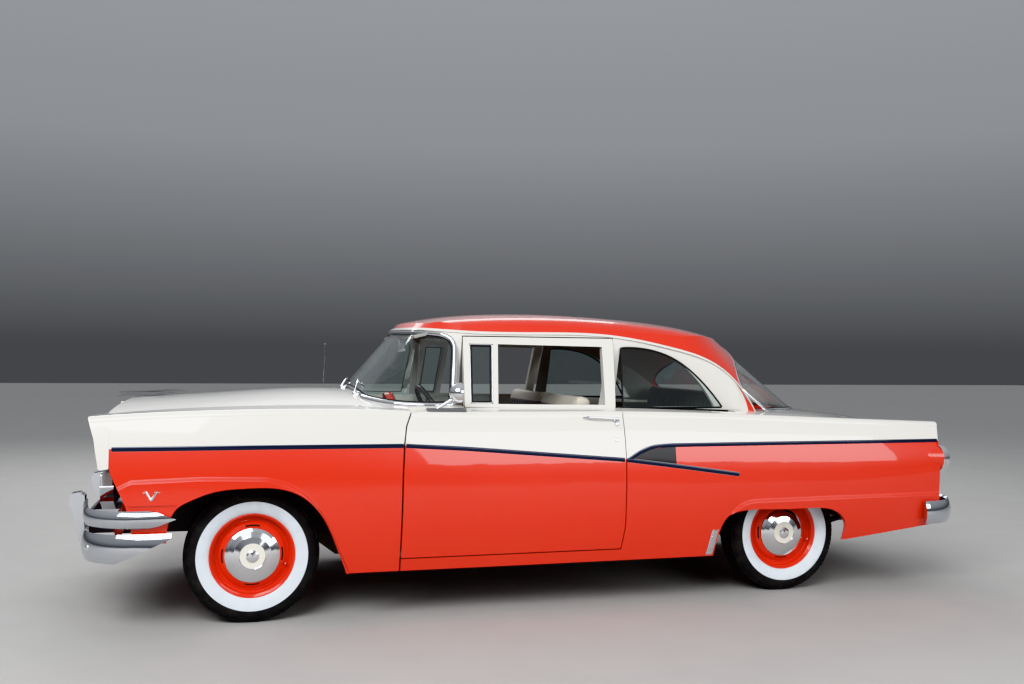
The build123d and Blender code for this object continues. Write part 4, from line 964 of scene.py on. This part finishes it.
shield_chrome = Finish("shield_chrome", (0.8, 0.81, 0.83), 0.12, 1.0)
plate_black = Finish("plate_black", (0.012, 0.012, 0.014), 0.35)
ARCH_EDGE = [  # height, x of the rear arch's edge
    (0.24, 0.7885), (0.28, 0.7985), (0.34, 0.8095), (0.39, 0.8195),
]
for side, sign in SIDES:
    columns = [(x, height_at(LOWER_STRIP, x) + 0.008, height_at(UPPER_STRIP, x) - 0.008)
        for x in [0.3 + 0.255 * i / 48 for i in range(49)]]
    insert = [[(x, low + (high - low) * j / 8) for x, low, high in columns] for j in range(9)]
    skin_plate(f"insert_{side}", f"quarter_{side}", sign, insert, plate_black,
        lambda i, j: 0.0022 if i % 2 else 0.001)
    shield = [[(height_at(ARCH_EDGE, z) - 0.042 + 0.038 * i / 12, z) for i in range(13)]
        for z in [0.247 + 0.14 * j / 40 for j in range(41)]]
    skin_plate(f"stone_shield_{side}", f"quarter_{side}", sign, shield, shield_chrome,
        lambda i, j: 0.003 + (0.004 * (j % 5) / 5 if 2 < i < 10 else 0))
    chevron = []
    for x0, z0, x1, z1, wide in ((-2.128, 0.672, -2.104, 0.628, 0.006), (-2.104, 0.628, -2.078, 0.672, 0.006),
            (-2.142, 0.664, -2.118, 0.668, 0.003), (-2.09, 0.668, -2.064, 0.664, 0.003)):
        rings = []
        for t in (0, 0.35, 0.7, 1):
            point, normal = skin_at(f"fender_front_{side}", x0 + (x1 - x0) * t, z0 + (z1 - z0) * t, sign)
            across = Vector((z1 - z0, 0, x0 - x1)).normalized()
            rings.append([point + across * wide * math.cos(a) + Vector((0, sign, 0)) * 0.005 * math.sin(a)
                for a in full_turn(10)])
        chevron.append(loft(rings))
    fit(f"chevron_{side}", joined(chevron), "body", chrome)

# Wipers, aerial and plate. Bright arms with rubber blades on the windshield, a short mast on the far
# wing, and a blank pressed plate behind the rear bumper.


def wire(points, radius):
    """A round bar through points, rounded at its bends."""
    curve = bpy.data.curves.new("wire", "CURVE")
    curve.dimensions, curve.bevel_depth, curve.bevel_resolution = "3D", radius, 3
    curve.use_fill_caps = True
    run = curve.splines.new("NURBS")
    run.points.add(len(points) - 1)
    for spot, place in zip(run.points, points):
        spot.co = (*place, 1)
    run.order_u, run.use_endpoint_u, run.resolution_u = 3, True, 10
    holder = bpy.data.objects.new("wire", curve)
    scene.collection.objects.link(holder)
    mesh = settled(holder)
    bpy.data.objects.remove(holder)
    return mesh


screen, cowl_top = surface("windshield"), surface("cowl")


def on_screen(y, above, lift):
    """A point over the windshield's glass, so far above its curved lower edge."""
    point, normal, _, _ = screen.ray_cast(Vector((-2.4, y, 1.13 - 0.13 * y * y + above)), Vector((1, 0, 0)))
    return point + normal * lift


arms, blades = [], []
for y in (-0.4, 0.12):
    foot = on_screen(y, 0.0, 0.0) + Vector((-0.014, 0, 0))
    foot.z = top_of(cowl_top, foot.x, y).z
    arms.append(turned([(-0.01, 0), (-0.01, 0.018), (0.005, 0.015), (0.016, 0.01), (0.019, 0)], foot,
        (-0.4, 0, 0.9), 20))
    arms.append(wire([foot + Vector((-0.004, 0, 0.014)), foot + Vector((0.004, 0.03, 0.026)),
        on_screen(y + 0.14, 0.046, 0.02), on_screen(y + 0.235, 0.052, 0.014)], 0.0034))
    rest_line = [(y + 0.03 + 0.4 * i / 6, 0.036 + 0.02 * i / 6) for i in range(7)]
    arms.append(wire([on_screen(*spot, 0.012) for spot in rest_line], 0.0024))
    blades.append(wire([on_screen(*spot, 0.005) for spot in rest_line], 0.0036))
fit("wiper_arms", joined(arms), "body", chrome)
fit("wiper_blades", joined(blades), "body", gasket)

mast_foot = top_of(surface("fender_front_right"), -1.16, 0.8)
mast_base = turned([(-0.004, 0), (-0.004, 0.02), (0.004, 0.018), (0.014, 0.009), (0.03, 0.007), (0.032, 0)],
    mast_foot, UP, 24)
mast = wire([mast_foot + Vector(p) for p in ((0, 0, 0.02), (0.004, 0, 0.18), (0.01, 0, 0.33))], 0.0022)
mast_tip = turned([(-0.004, 0), (-0.003, 0.003), (0, 0.0042), (0.003, 0.003), (0.004, 0)],
    mast_foot + Vector((0.01, 0, 0.334)), UP, 12)
fit("aerial", joined([mast_base, mast, mast_tip]), "body", chrome)

plate_paint = Finish("plate_paint", (0.72, 0.72, 0.69), 0.45)
plate_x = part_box("rear_panel")[1].x + 0.001
PLATE_HALF, PLATE_LOW, PLATE_HIGH, PLATE_RIM = 0.152, 0.437, 0.546, 0.004
plate = blocks([((plate_x, y0, z0), (plate_x + thick, y1, z1)) for y0, z0, y1, z1, thick in (
    (-PLATE_HALF, PLATE_LOW, PLATE_HALF, PLATE_HIGH, 0.0015),
    (-PLATE_HALF, PLATE_LOW, PLATE_HALF, PLATE_LOW + PLATE_RIM, 0.0035),
    (-PLATE_HALF, PLATE_HIGH - PLATE_RIM, PLATE_HALF, PLATE_HIGH, 0.0035),
    (-PLATE_HALF, PLATE_LOW + PLATE_RIM, PLATE_RIM - PLATE_HALF, PLATE_HIGH - PLATE_RIM, 0.0035),
    (PLATE_HALF - PLATE_RIM, PLATE_LOW + PLATE_RIM, PLATE_HALF, PLATE_HIGH - PLATE_RIM, 0.0035))], 0.0005)
fit("blank_plate", plate, "body", plate_paint)
bolts = [turned([(-0.02, 0), (-0.02, 0.003), (0.002, 0.003), (0.002, 0.008), (0.0045, 0.0065), (0.0055, 0)],
    (plate_x, y, 0.53), REARWARD, 20) for y in (-0.089, 0.089)]
fit("plate_bolts", joined(bolts), "body", chrome)

# Engine bay. Finned alloy rocker covers, an oil bath air cleaner in black enamel, rubber hoses with
# bright clips, a pressed fan, rubber plug leads, a cased battery, and a radiator core of thin fins.

alloy = Finish("cast_alloy", metallic=1.0, roughness=0.32)
alloy.set("Base Color", alloy.mix(alloy.noise(35.0), (0.42, 0.43, 0.44), (0.58, 0.58, 0.58)))
enamel = Finish("black_enamel", (0.012, 0.012, 0.013), 0.18, Coat_Weight=0.6)
rubber_hose = Finish("hose_rubber", (0.016, 0.016, 0.017), 0.55)

row_of = Growth("row_of_copies", Count="Int", Offset="Vector")
row_spots = row_of.node(
    "GeometryNodeMeshLine", None, {"Count": row_of.input("Count"), "Offset": row_of.input("Offset")})
row_of.end(row_of.node(
    "GeometryNodeInstanceOnPoints", None, {"Points": row_spots, "Instance": row_of.input("Geometry")}))

for side, sign in SIDES:
    cover = blocks([((-2.0, -0.056, 0.0), (-1.48, 0.056, 0.04))]
        + [((-1.97, -0.042 + 0.012 * i, 0.036), (-1.51, -0.038 + 0.012 * i, 0.046)) for i in range(8)],
        0.0018)
    nuts = [turned([(0.03, 0), (0.03, 0.009), (0.046, 0.009), (0.052, 0.006), (0.052, 0)], (x, 0, 0), UP, 12)
        for x in (-1.985, -1.495)]
    cover = joined([cover] + nuts)
    cover.transform(
        Matrix.Translation((0, sign * 0.281, 0.811)) @ Matrix.Rotation(math.radians(-45 * sign), 4, "X"))
    fit(f"rocker_cover_{side}", cover, "body", alloy)

CLEANER, FAN = (-1.76, 0, 0.95), (-2.137, 0, 0.6)
cleaner = turned([(-0.05, 0), (-0.05, 0.15), (-0.055, 0.176), (0.0, 0.181), (0.018, 0.176), (0.03, 0.14),
    (0.03, 0.06), (0.034, 0.02), (0.034, 0)], CLEANER, UP, 64)
fit("air_cleaner", cleaner, "body", enamel)
wing_nut = turned([(0.03, 0), (0.03, 0.012), (0.044, 0.01), (0.052, 0)], CLEANER, UP, 16)
filler_cap = turned([(0.02, 0), (0.02, 0.03), (0.034, 0.03), (0.04, 0.022), (0.042, 0)], (-2.185, 0, 0.99),
    UP, 28)

top_hose = wire([(-2.15, 0.17, 0.925), (-2.115, 0.17, 0.925), (-2.085, 0.12, 0.9), (-2.045, 0.03, 0.83),
    (-2.04, 0.0, 0.79), (-2.04, 0.0, 0.7)], 0.021)
low_hose = wire([(-2.15, -0.2, 0.55), (-2.115, -0.2, 0.55), (-2.09, -0.13, 0.56), (-2.06, -0.1, 0.57)], 0.022)
leads = [wire([(-1.455 + 0.01 * i, -0.02 * sign, 0.885), (-1.47, sign * 0.12, 0.925),
    (-1.5 - 0.115 * i, sign * 0.2, 0.93), (-1.52 - 0.125 * i, sign * 0.315, 0.86),
    (-1.53 - 0.13 * i, sign * 0.345, 0.79), (-1.53 - 0.13 * i, sign * 0.322, 0.745)], 0.0042)
    for _, sign in SIDES for i in range(4)]
spark_cap = turned([(0.0, 0), (0.0, 0.044), (0.035, 0.044), (0.055, 0.034), (0.058, 0)], (-1.455, 0, 0.835),
    UP, 24)
fit("hoses_and_leads", joined([top_hose, low_hose, *leads, spark_cap]), "body", rubber_hose)
CLIP_SPOTS = [((-2.135, 0.17, 0.925), REARWARD), ((-2.04, 0, 0.735), UP), ((-2.135, -0.2, 0.55), REARWARD)]
clips = [turned([(-0.006, 0.0215), (-0.006, 0.0245), (0.006, 0.0245), (0.006, 0.0215)], place, axis, 28)
    for place, axis in CLIP_SPOTS]
fit("bay_bright_parts", joined(clips + [wing_nut, filler_cap]), "body", chrome)

blades = []
for i in range(4):
    blade = blocks([((-0.0015, -0.034, 0.04), (0.0015, 0.034, 0.185))], 0.001)
    blade.transform(Matrix.Translation(FAN) @ Matrix.Rotation(math.pi / 2 * i, 4, "X")
        @ Matrix.Rotation(math.radians(24), 4, "Z"))
    blades.append(blade)
blades.append(
    turned([(-0.01, 0), (-0.01, 0.03), (-0.006, 0.052), (0.016, 0.052), (0.016, 0)], FAN, REARWARD, 28))
fit("fan", joined(blades), "body", enamel)

core_metal = Finish("core_metal", (0.035, 0.033, 0.03), 0.5, 0.3)
for name, x in (("front", -2.2175), ("back", -2.1545)):
    row_of.grow(f"core_fins_{name}", blocks([((x, -0.3, 0.535), (x + 0.002, -0.2968, 0.9))]), "body",
        core_metal, Count=101, Offset=(0, 0.006, 0))

battery = blocks([((-1.98, 0.372, 0.7), (-1.74, 0.456, 0.885))]
    + [((-1.965 + 0.055 * i, 0.385, 0.883), (-1.935 + 0.055 * i, 0.411, 0.897)) for i in range(4)], 0.003)
fit("battery", battery, "body", rubber_hose)
tray = blocks([((-2.0, 0.366, 0.69), (-1.72, 0.466, 0.7)), ((-1.99, 0.366, 0.7), (-1.985, 0.372, 0.895)),
    ((-1.735, 0.366, 0.7), (-1.73, 0.372, 0.895)), ((-1.99, 0.366, 0.885), (-1.73, 0.372, 0.895))], 0.001)
fit("battery_tray", tray, "body", enamel)
brake_cylinder = turned([(-0.1, 0), (-0.1, 0.034), (-0.02, 0.034), (-0.01, 0.022), (0.03, 0.022), (0.03, 0)],
    (-1.165, -0.36, 0.74), REARWARD, 28)
reservoir = turned([(0.02, 0), (0.02, 0.026), (0.052, 0.026), (0.058, 0.018), (0.058, 0)],
    (-1.225, -0.36, 0.74), UP, 24)
heater = blocks([((-1.235, 0.14, 0.66), (-1.145, 0.4, 0.9))], 0.012)
fit("bulkhead_fittings", joined([brake_cylinder, reservoir, heater]), "body", enamel)

# Boot and tail. A spare wheel lies over the axle, the floor has a ribbed rubber mat, and black trim
# boards hide the side pockets. Outside are the lid's cast handle with its lock, a bright tip pushed on
# the exhaust, and the round heads of the bolts that hold the bumpers.

spare_rubber = Finish("spare_rubber", (0.018, 0.018, 0.019), 0.75)
spare_spot = (1.5, 0.23, 0.7365)
fit("spare_tyre", turned(CARCASS, spare_spot, UP, 72), "body", spare_rubber)
spare_rim = turned([(0.02, 0), (0.02, 0.06), (0.045, 0.075), (0.048, 0.11), (0.03, 0.125), (0.034, 0.165),
    (0.07, 0.18), (0.074, 0.197), (0.066, 0.199), (0.05, 0.19), (0.02, 0.175), (-0.05, 0.19), (-0.06, 0.18),
    (0.01, 0.15), (0.0, 0.06), (0.0, 0)], spare_spot, UP, 64)
fit("spare_rim", spare_rim, "body", red_paint)
mat_rubber = Finish("boot_mat", (0.03, 0.029, 0.029), 0.7)
row_of.grow("boot_mat_ribs", blocks([((1.795, -0.548, 0.529), (2.205, -0.54, 0.5335))], 0.001), "body",
    mat_rubber, Count=61, Offset=(0, 0.018, 0))
fit("boot_mat", blocks([((1.785, -0.565, 0.5245), (2.215, 0.565, 0.5305))], 0.001), "body", mat_rubber)
boards = blocks(
    [((1.62, sign * 0.59 - 0.003, 0.527), (2.205, sign * 0.59 + 0.003, 0.855)) for _, sign in SIDES], 0.001)
fit("boot_boards", boards, "body", mat_rubber)
lid_skin = surface("decklid")


def on_lid(y, z, lift):
    """A point over the lid's outer face, seen from behind."""
    point, normal, _, _ = lid_skin.ray_cast(Vector((3.0, y, z)), Vector((-1, 0, 0)))
    return point + normal * lift


LID_BAR = [(-0.075, 0.004), (-0.06, 0.009), (-0.02, 0.012), (0.02, 0.012), (0.06, 0.009), (0.075, 0.004)]
lid_bar = loft([[on_lid(y, 0.7 + radius * math.sin(t), 0.012 + radius * math.cos(t)) for t in full_turn(14)]
    for y, radius in LID_BAR])
lid_feet = [turned([(-0.02, 0), (-0.02, 0.01), (0.012, 0.007), (0.012, 0)], on_lid(y, 0.7, 0.0), REARWARD, 20)
    for y in (-0.045, 0.045)]
lid_lock = turned([(-0.02, 0), (-0.02, 0.017), (0.003, 0.017), (0.007, 0.012), (0.007, 0.008), (0.005, 0.007),
    (0.005, 0)], on_lid(0.0, 0.645, 0.0), REARWARD, 28)
fit("lid_handle", joined([lid_bar, lid_lock] + lid_feet), "decklid", chrome)
tip = turned([(-0.06, 0.0265), (-0.06, 0.0295), (0.012, 0.03), (0.016, 0.0285), (0.012, 0.0255),
    (-0.03, 0.0245)], (2.368, -0.318, 0.3), (1, 0, -0.05), 40)
fit("exhaust_tip", tip, "body", chrome)
BUMPER_BOLTS = [  # node, the way in from outside, places as (y, height)
    ("bumper_front", REARWARD, ((0.42, 0.4), (0.845, 0.405))),
    ("bumper_rear", -REARWARD, ((0.3, 0.44), (0.8, 0.44))),
]
bolt_heads = []
for node, inwards, places in BUMPER_BOLTS:
    for sign, (y, z) in [(sign, place) for sign in (-1, 1) for place in places]:
        spot, normal, _, _ = surface(node).ray_cast(Vector((0, sign * y, z)) - inwards * 3, inwards)
        bolt_heads.append(turned([(-0.003, 0), (-0.003, 0.016), (0.001, 0.0155), (0.005, 0.012),
            (0.0075, 0.006), (0.008, 0)], spot, normal, 28))
fit("bumper_bolts", joined(bolt_heads), "body", chrome)

# Cabin lining. Ribbed cloth headliner under the steel roof, loop carpet over the floor pan, and door and side
# panels of red vinyl over board, with sewn ribs.

for node, tone in (("roof", CORAL), ("window_frame_left", IVORY), ("window_frame_right", IVORY)):
    lined = body_paint(f"{node}_paint_and_lining", "red" if node == "roof" else "white")
    normal = lined.node("ShaderNodeNewGeometry", output="Normal")
    lean = [lined.node("ShaderNodeSeparateXYZ", None, {0: normal}, i) for i in range(3)]
    if node == "roof":
        under = (-lean[2]).ramp(0.08, 0.14) * lined.z.ramp(1.04, 1.06)
    else:
        under = (lean[1] * (1.0 if node.endswith("left") else -1.0)).ramp(0.3, 0.35)
    ribs = (lined.y * 150.0).wave()
    weave = lined.mix(lined.noise(500.0), (0.3, 0.295, 0.28), (0.4, 0.39, 0.375))
    lined.set("Base Color", lined.mix(under, lined.mix(lined.noise(2.0), tone, shade(tone, 0.95)), weave))
    lined.set("Roughness", 0.32 + under * 0.55)
    lined.set("Coat Weight", 1 - under)
    lined.bump(under * ribs, 0.25, 0.001)
    wear(node, lined)

carpet = Finish("carpet_and_underseal", roughness=0.95)
upward = carpet.node(
    "ShaderNodeSeparateXYZ", None, {0: carpet.node("ShaderNodeNewGeometry", output="Normal")}, 2)
loops = carpet.noise(420.0, 2.0)
pile = carpet.mix(loops, (0.035, 0.033, 0.035), (0.1, 0.095, 0.095))
tar = carpet.mix(carpet.noise(12.0), (0.016, 0.015, 0.014), (0.07, 0.06, 0.05))
carpet.set("Base Color", carpet.mix(upward.ramp(0.25, 0.35), tar, pile))
carpet.bump(loops, 0.8, 0.003)
wear("floor_pan", carpet)

red_vinyl = Finish("red_vinyl", roughness=0.42, Coat_Weight=0.15)
crease = red_vinyl.node("ShaderNodeTexVoronoi", {"feature": "DISTANCE_TO_EDGE"},
    {"Vector": red_vinyl.place, "Scale": 260.0}, "Distance")
red_vinyl.set("Base Color", red_vinyl.mix(red_vinyl.noise(5.0), (0.33, 0.022, 0.016), (0.45, 0.032, 0.022)))
red_vinyl.bump(crease.ramp(0.0, 0.25), 0.35, 0.0006)


def inner_face(tree, x, z, sign):
    """How far out the inside of a body panel is, at a place seen from the cabin."""
    return tree.ray_cast(Vector((x, 0, z)), Vector((0, sign, 0)))[0].y


def lining(name, node, body, sign, area, low, high):
    """A vinyl trim board against the inside of a panel, with padded upright ribs between two heights."""
    x0, x1, z0, z1 = area
    inner = surface(node)
    across, up = round((x1 - x0) / 0.012), round((z1 - z0) / 0.012)
    front, back = [], []
    for j in range(up + 1):
        front.append([])
        back.append([])
        for i in range(across + 1):
            x, z = x0 + (x1 - x0) * i / across, z0 + (z1 - z0) * j / up
            y = inner_face(inner, x, z, sign)
            rib = 0.007 * abs(math.sin(math.pi * x / 0.05)) ** 0.6 if low < z < high else 0.0
            rim = (0.45, 0.85, 1)[min(2, i, across - i, j, up - j)]
            front[-1].append((x, y - sign * (0.006 + rib) * rim, z))
            back[-1].append((x, y - sign * 0.0005, z))
    return fit(name, board(front, back), body, red_vinyl, 60)


for side, sign in SIDES:
    lining(f"door_board_{side}", f"door_{side}", f"door_{side}", sign, (-0.8, 0.21, 0.365, 0.985), 0.5, 0.84)
    lining(f"quarter_board_{side}", f"quarter_{side}", "body", sign, (0.34, 0.76, 0.56, 0.975), 0.64, 0.84)

# Door and cabin fittings. Bright window cranks and door pulls, a mirror on a stalk from the
# header, two padded visors, and three pedals on the toe board.

fittings = {"door_left": [], "door_right": [], "body": []}
for side, sign in SIDES:
    inner = surface(f"door_{side}")
    for x, z, reach in ((-0.28, 0.7, 0.11), (-0.56, 0.74, 0.1)):
        y = inner_face(inner, x, z, sign) - sign * 0.01
        knob_spot = (x + reach, y - sign * 0.03, z + 0.004)
        boss = turned([(0.0, 0), (0.0, 0.024), (0.008, 0.022), (0.02, 0.012), (0.034, 0.012), (0.036, 0)],
            (x, y, z), (0, -sign, 0), 24)
        crank = wire([(x, y - sign * 0.03, z), (x + reach * 0.5, y - sign * 0.034, z + 0.01), knob_spot],
            0.0058)
        knob = turned([(-0.004, 0), (-0.004, 0.009), (0.02, 0.013), (0.028, 0.01), (0.03, 0)], knob_spot,
            (0, -sign, 0), 20)
        fittings[f"door_{side}"] += [boss, crank, knob]
    y = inner_face(inner, -0.1, 0.86, sign)
    fittings[f"door_{side}"].append(wire([(-0.22, y, 0.86), (-0.21, y - sign * 0.04, 0.862),
        (-0.12, y - sign * 0.048, 0.866), (0.01, y - sign * 0.04, 0.862), (0.02, y, 0.86)], 0.008))
stalk = wire([(-0.846, 0, 1.432), (-0.812, 0, 1.425), (-0.79, 0, 1.4), (-0.786, 0, 1.378)], 0.005)
shell = blocks([((-0.792, -0.105, 1.338), (-0.776, 0.105, 1.39))], 0.007)
fittings["body"] += [stalk, shell]
for body, meshes in fittings.items():
    fit(f"fittings_{body}", joined(meshes), body, chrome)
looking_glass = blocks([((-0.7765, -0.099, 1.344), (-0.7745, 0.099, 1.384))], 0.001)
fit("inner_mirror_glass", looking_glass, "body", silvering)
visor_cloth = Finish("visor_vinyl", (0.34, 0.33, 0.31), 0.7)
visors = blocks(
    [((-0.15, sign * 0.33 - 0.2, -0.009), (0.0, sign * 0.33 + 0.2, 0.009)) for _, sign in SIDES], 0.007)
visors.transform(Matrix.Translation((-0.655, 0, 1.452)) @ Matrix.Rotation(math.radians(-14), 4, "Y"))
fit("visors", visors, "body", visor_cloth)
pedals = blocks([((-1.06, -0.475, 0.5), (-1.048, -0.405, 0.56)),
    ((-1.06, -0.345, 0.5), (-1.048, -0.275, 0.56)), ((-1.07, -0.205, 0.42), (-1.05, -0.155, 0.58))], 0.004)
stems = [wire([(-1.054, y, 0.53), (-1.08, y, 0.6), (-1.13, y, 0.68)], 0.007) for y in (-0.44, -0.31)]
fit("pedals", joined([pedals] + stems), "body", rubber_hose)

# Benches. Coil springs under cotton padding, with grey woven cloth in the middle and a cream vinyl
# roll along the top. The covers are drawn down at sewn pleats.

PLEAT = 0.058
cloth = Finish("seat_cloth", roughness=0.9, Sheen_Weight=0.35, Sheen_Roughness=0.5)
cream, grey = (0.66, 0.62, 0.53), (0.175, 0.175, 0.185)
threads = (cloth.y * 1400.0).wave() * ((cloth.z + cloth.x) * 1400.0).wave()
roll = cloth.z.ramp(1.04, 1.044) * (1 - cloth.x.ramp(0.4, 0.41))
cushion_edge = (0.75 - cloth.z).ramp(0.06, 0.064) * (1 - cloth.x.ramp(-0.2, -0.19)).most(
    cloth.x.ramp(0.4, 0.41) * (1 - cloth.x.ramp(0.6, 0.61)))
plain = roll.most(cushion_edge)
woven = cloth.mix(threads, shade(grey, 0.7), shade(grey, 1.6))
cloth.set("Base Color", cloth.mix(plain, woven, cream))
cloth.set("Roughness", 0.92 - plain * 0.45)
cloth.bump(threads * (1 - plain) + cloth.noise(260.0) * plain * 0.5, 0.35, 0.0008)


def pad(name, size, centre, tilt, swell, pleat_axis, pleat_zone):
    """A bench pad: a rounded block, filled like a cushion by a cloth simulation, drawn in at its pleats."""
    half = Vector(size) / 2
    holder = bpy.data.objects.new(name + "_form", blocks([(-half, half)], min(size) * 0.36))
    scene.collection.objects.link(holder)
    remesh = holder.modifiers.new("even_skin", "REMESH")
    remesh.mode, remesh.voxel_size = "VOXEL", 0.0125
    skin = settled(holder)
    holder.modifiers.clear()
    holder.data = skin
    stuffing = holder.modifiers.new("stuffing", "CLOTH").settings
    stuffing.use_pressure, stuffing.uniform_pressure_force = True, 4.0
    stuffing.effector_weights.gravity = 0.0
    stuffing.quality = 4
    for step in range(1, 21):
        scene.frame_set(step)
    swollen = settled(holder)
    holder.modifiers.clear()
    for v, rest in zip(swollen.vertices, skin.vertices):
        move = v.co - rest.co
        v.co = rest.co + move * min(1.0, swell / max(move.length, 1e-6))
    holder.data = swollen
    scene.frame_set(1)
    fine = holder.modifiers.new("fine", "SUBSURF")
    fine.levels = fine.render_levels = 1
    mesh = settled(holder)
    bpy.data.objects.remove(holder)
    for v, normal in zip(mesh.vertices, [v.normal.copy() for v in mesh.vertices]):
        inside = pleat_zone[0] < v.co[pleat_axis] < pleat_zone[1] and abs(v.co.y) < half.y - 0.06
        gap = abs((v.co.y / PLEAT) % 1 - 0.5) * PLEAT
        if inside and abs(normal[2 - pleat_axis]) > 0.4:
            v.co -= normal * 0.009 * math.exp(-(gap / 0.008) ** 2)
    mesh.transform(Matrix.Translation(centre) @ Matrix.Rotation(math.radians(tilt), 4, "Y"))
    piece = fit(name, mesh, "body", cloth, 180)
    return piece


front_cushion = pad("front_cushion", (0.49, 1.34, 0.105), (-0.232, 0, 0.664), -4, 0.016, 0, (-0.19, 0.2))
for side, sign in SIDES:
    pad(f"front_back_{side}", (0.088, 0.668, 0.5), (0.078, sign * 0.342, 0.862), 13.5, 0.012, 2, (-0.2, 0.16))
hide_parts("front_seat")
rear_cushion = pad("rear_cushion", (0.45, 1.15, 0.09), (0.762, 0, 0.693), -3, 0.012, 0, (-0.18, 0.2))
pad("rear_back", (0.085, 1.15, 0.455), (1.046, 0, 0.905), 12, 0.012, 2, (-0.18, 0.15))
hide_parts("rear_seat")

FRAME_FRONT, FRAME_BACK = -0.46, 0.0
base = [((FRAME_FRONT, -0.6, 0.545), (FRAME_BACK, 0.6, 0.622))]
base += [((x, y, 0.392), (x + 0.04, y + 0.06, 0.56)) for x in (-0.44, -0.06) for y in (-0.56, 0.5)]
base += [((FRAME_FRONT, y, 0.388), (FRAME_BACK, y + 0.07, 0.402)) for y in (-0.565, 0.495)]
seat_base = blocks(base, 0.004)
fit("seat_base", seat_base, "body", chassis_paint)
rear_base = blocks(
    [((0.6, -0.54, 0.43), (0.64, 0.54, 0.66)), ((0.6, -0.54, 0.63), (0.96, 0.54, 0.66))], 0.004)
fit("rear_base", rear_base, "body", chassis_paint)

# Dashboard. Red enamelled steel with a half-round speedometer pod, a ribbed bright panel with the
# radio and its knobs, and a glove box lid.

dial_black = Finish("dial_black", (0.01, 0.01, 0.011), 0.35)
pod, pod_axis = (-0.905, -0.37, 0.985), (1, 0, 0.28)
speedometer = turned([(0.0, 0.128), (0.03, 0.128), (0.04, 0.12), (0.04, 0.112), (0.012, 0.11), (0.012, 0)],
    pod, pod_axis, 48)
red_enamel = body_paint("red_enamel", "red")
fit("speedometer_pod", speedometer, "body", red_enamel)
face_plate = turned([(0.0135, 0), (0.0135, 0.108), (0.011, 0.108)], pod, pod_axis, 48)
fit("dial_face", face_plate, "body", dial_black)
dial_ring = turned([(0.037, 0.112), (0.043, 0.115), (0.044, 0.119), (0.039, 0.122)], pod, pod_axis, 48)
fit("dial_ring", dial_ring, "body", chrome)
KNOB_SPOTS = [(-0.1, 0.905), (0.1, 0.905), (-0.6, 0.9), (-0.52, 0.9), (-0.22, 0.9), (0.2, 0.9)]
knobs = [turned([(0, 0.016), (0.004, 0.016), (0.01, 0.011), (0.022, 0.012), (0.026, 0.009), (0.026, 0)],
    (-0.8665, y, z), (1, 0, 0.05), 24) for y, z in KNOB_SPOTS]
slots = blocks(
    [((-0.874, -0.075, 0.868 + 0.012 * i), (-0.853, 0.075, 0.873 + 0.012 * i)) for i in range(6)], 0.001)
fit("dash_knobs", joined(knobs + [slots]), "body", chrome)
glove_lid = blocks([((-0.872, 0.3, 0.868), (-0.852, 0.62, 0.935))], 0.006)
fit("glove_lid", glove_lid, "body", red_enamel)

# Steering wheel. A thin rim of black hard rubber is moulded on a steel ring with its spokes. A bright
# horn ring and a pressed hub button sit inside it, on the column's end.

wheel_plastic = Finish("wheel_plastic", (0.02, 0.02, 0.022), 0.22, Coat_Weight=0.5)
wear("steering_wheel", wheel_plastic)
hub = Vector((-0.64, -0.37, 0.958))
lean = Vector((math.cos(math.radians(30)), 0, math.sin(math.radians(30))))
horn = turned(
    [(0.012 + 0.005 * math.cos(t), 0.128 + 0.005 * math.sin(t)) for t in full_turn(10)], hub, lean, 72)
button = turned(
    [(0.004, 0), (0.004, 0.036), (0.014, 0.034), (0.024, 0.024), (0.029, 0.01), (0.03, 0)], hub, lean, 40)
fit("horn_ring", joined([horn, button]), "steering_wheel", chrome)
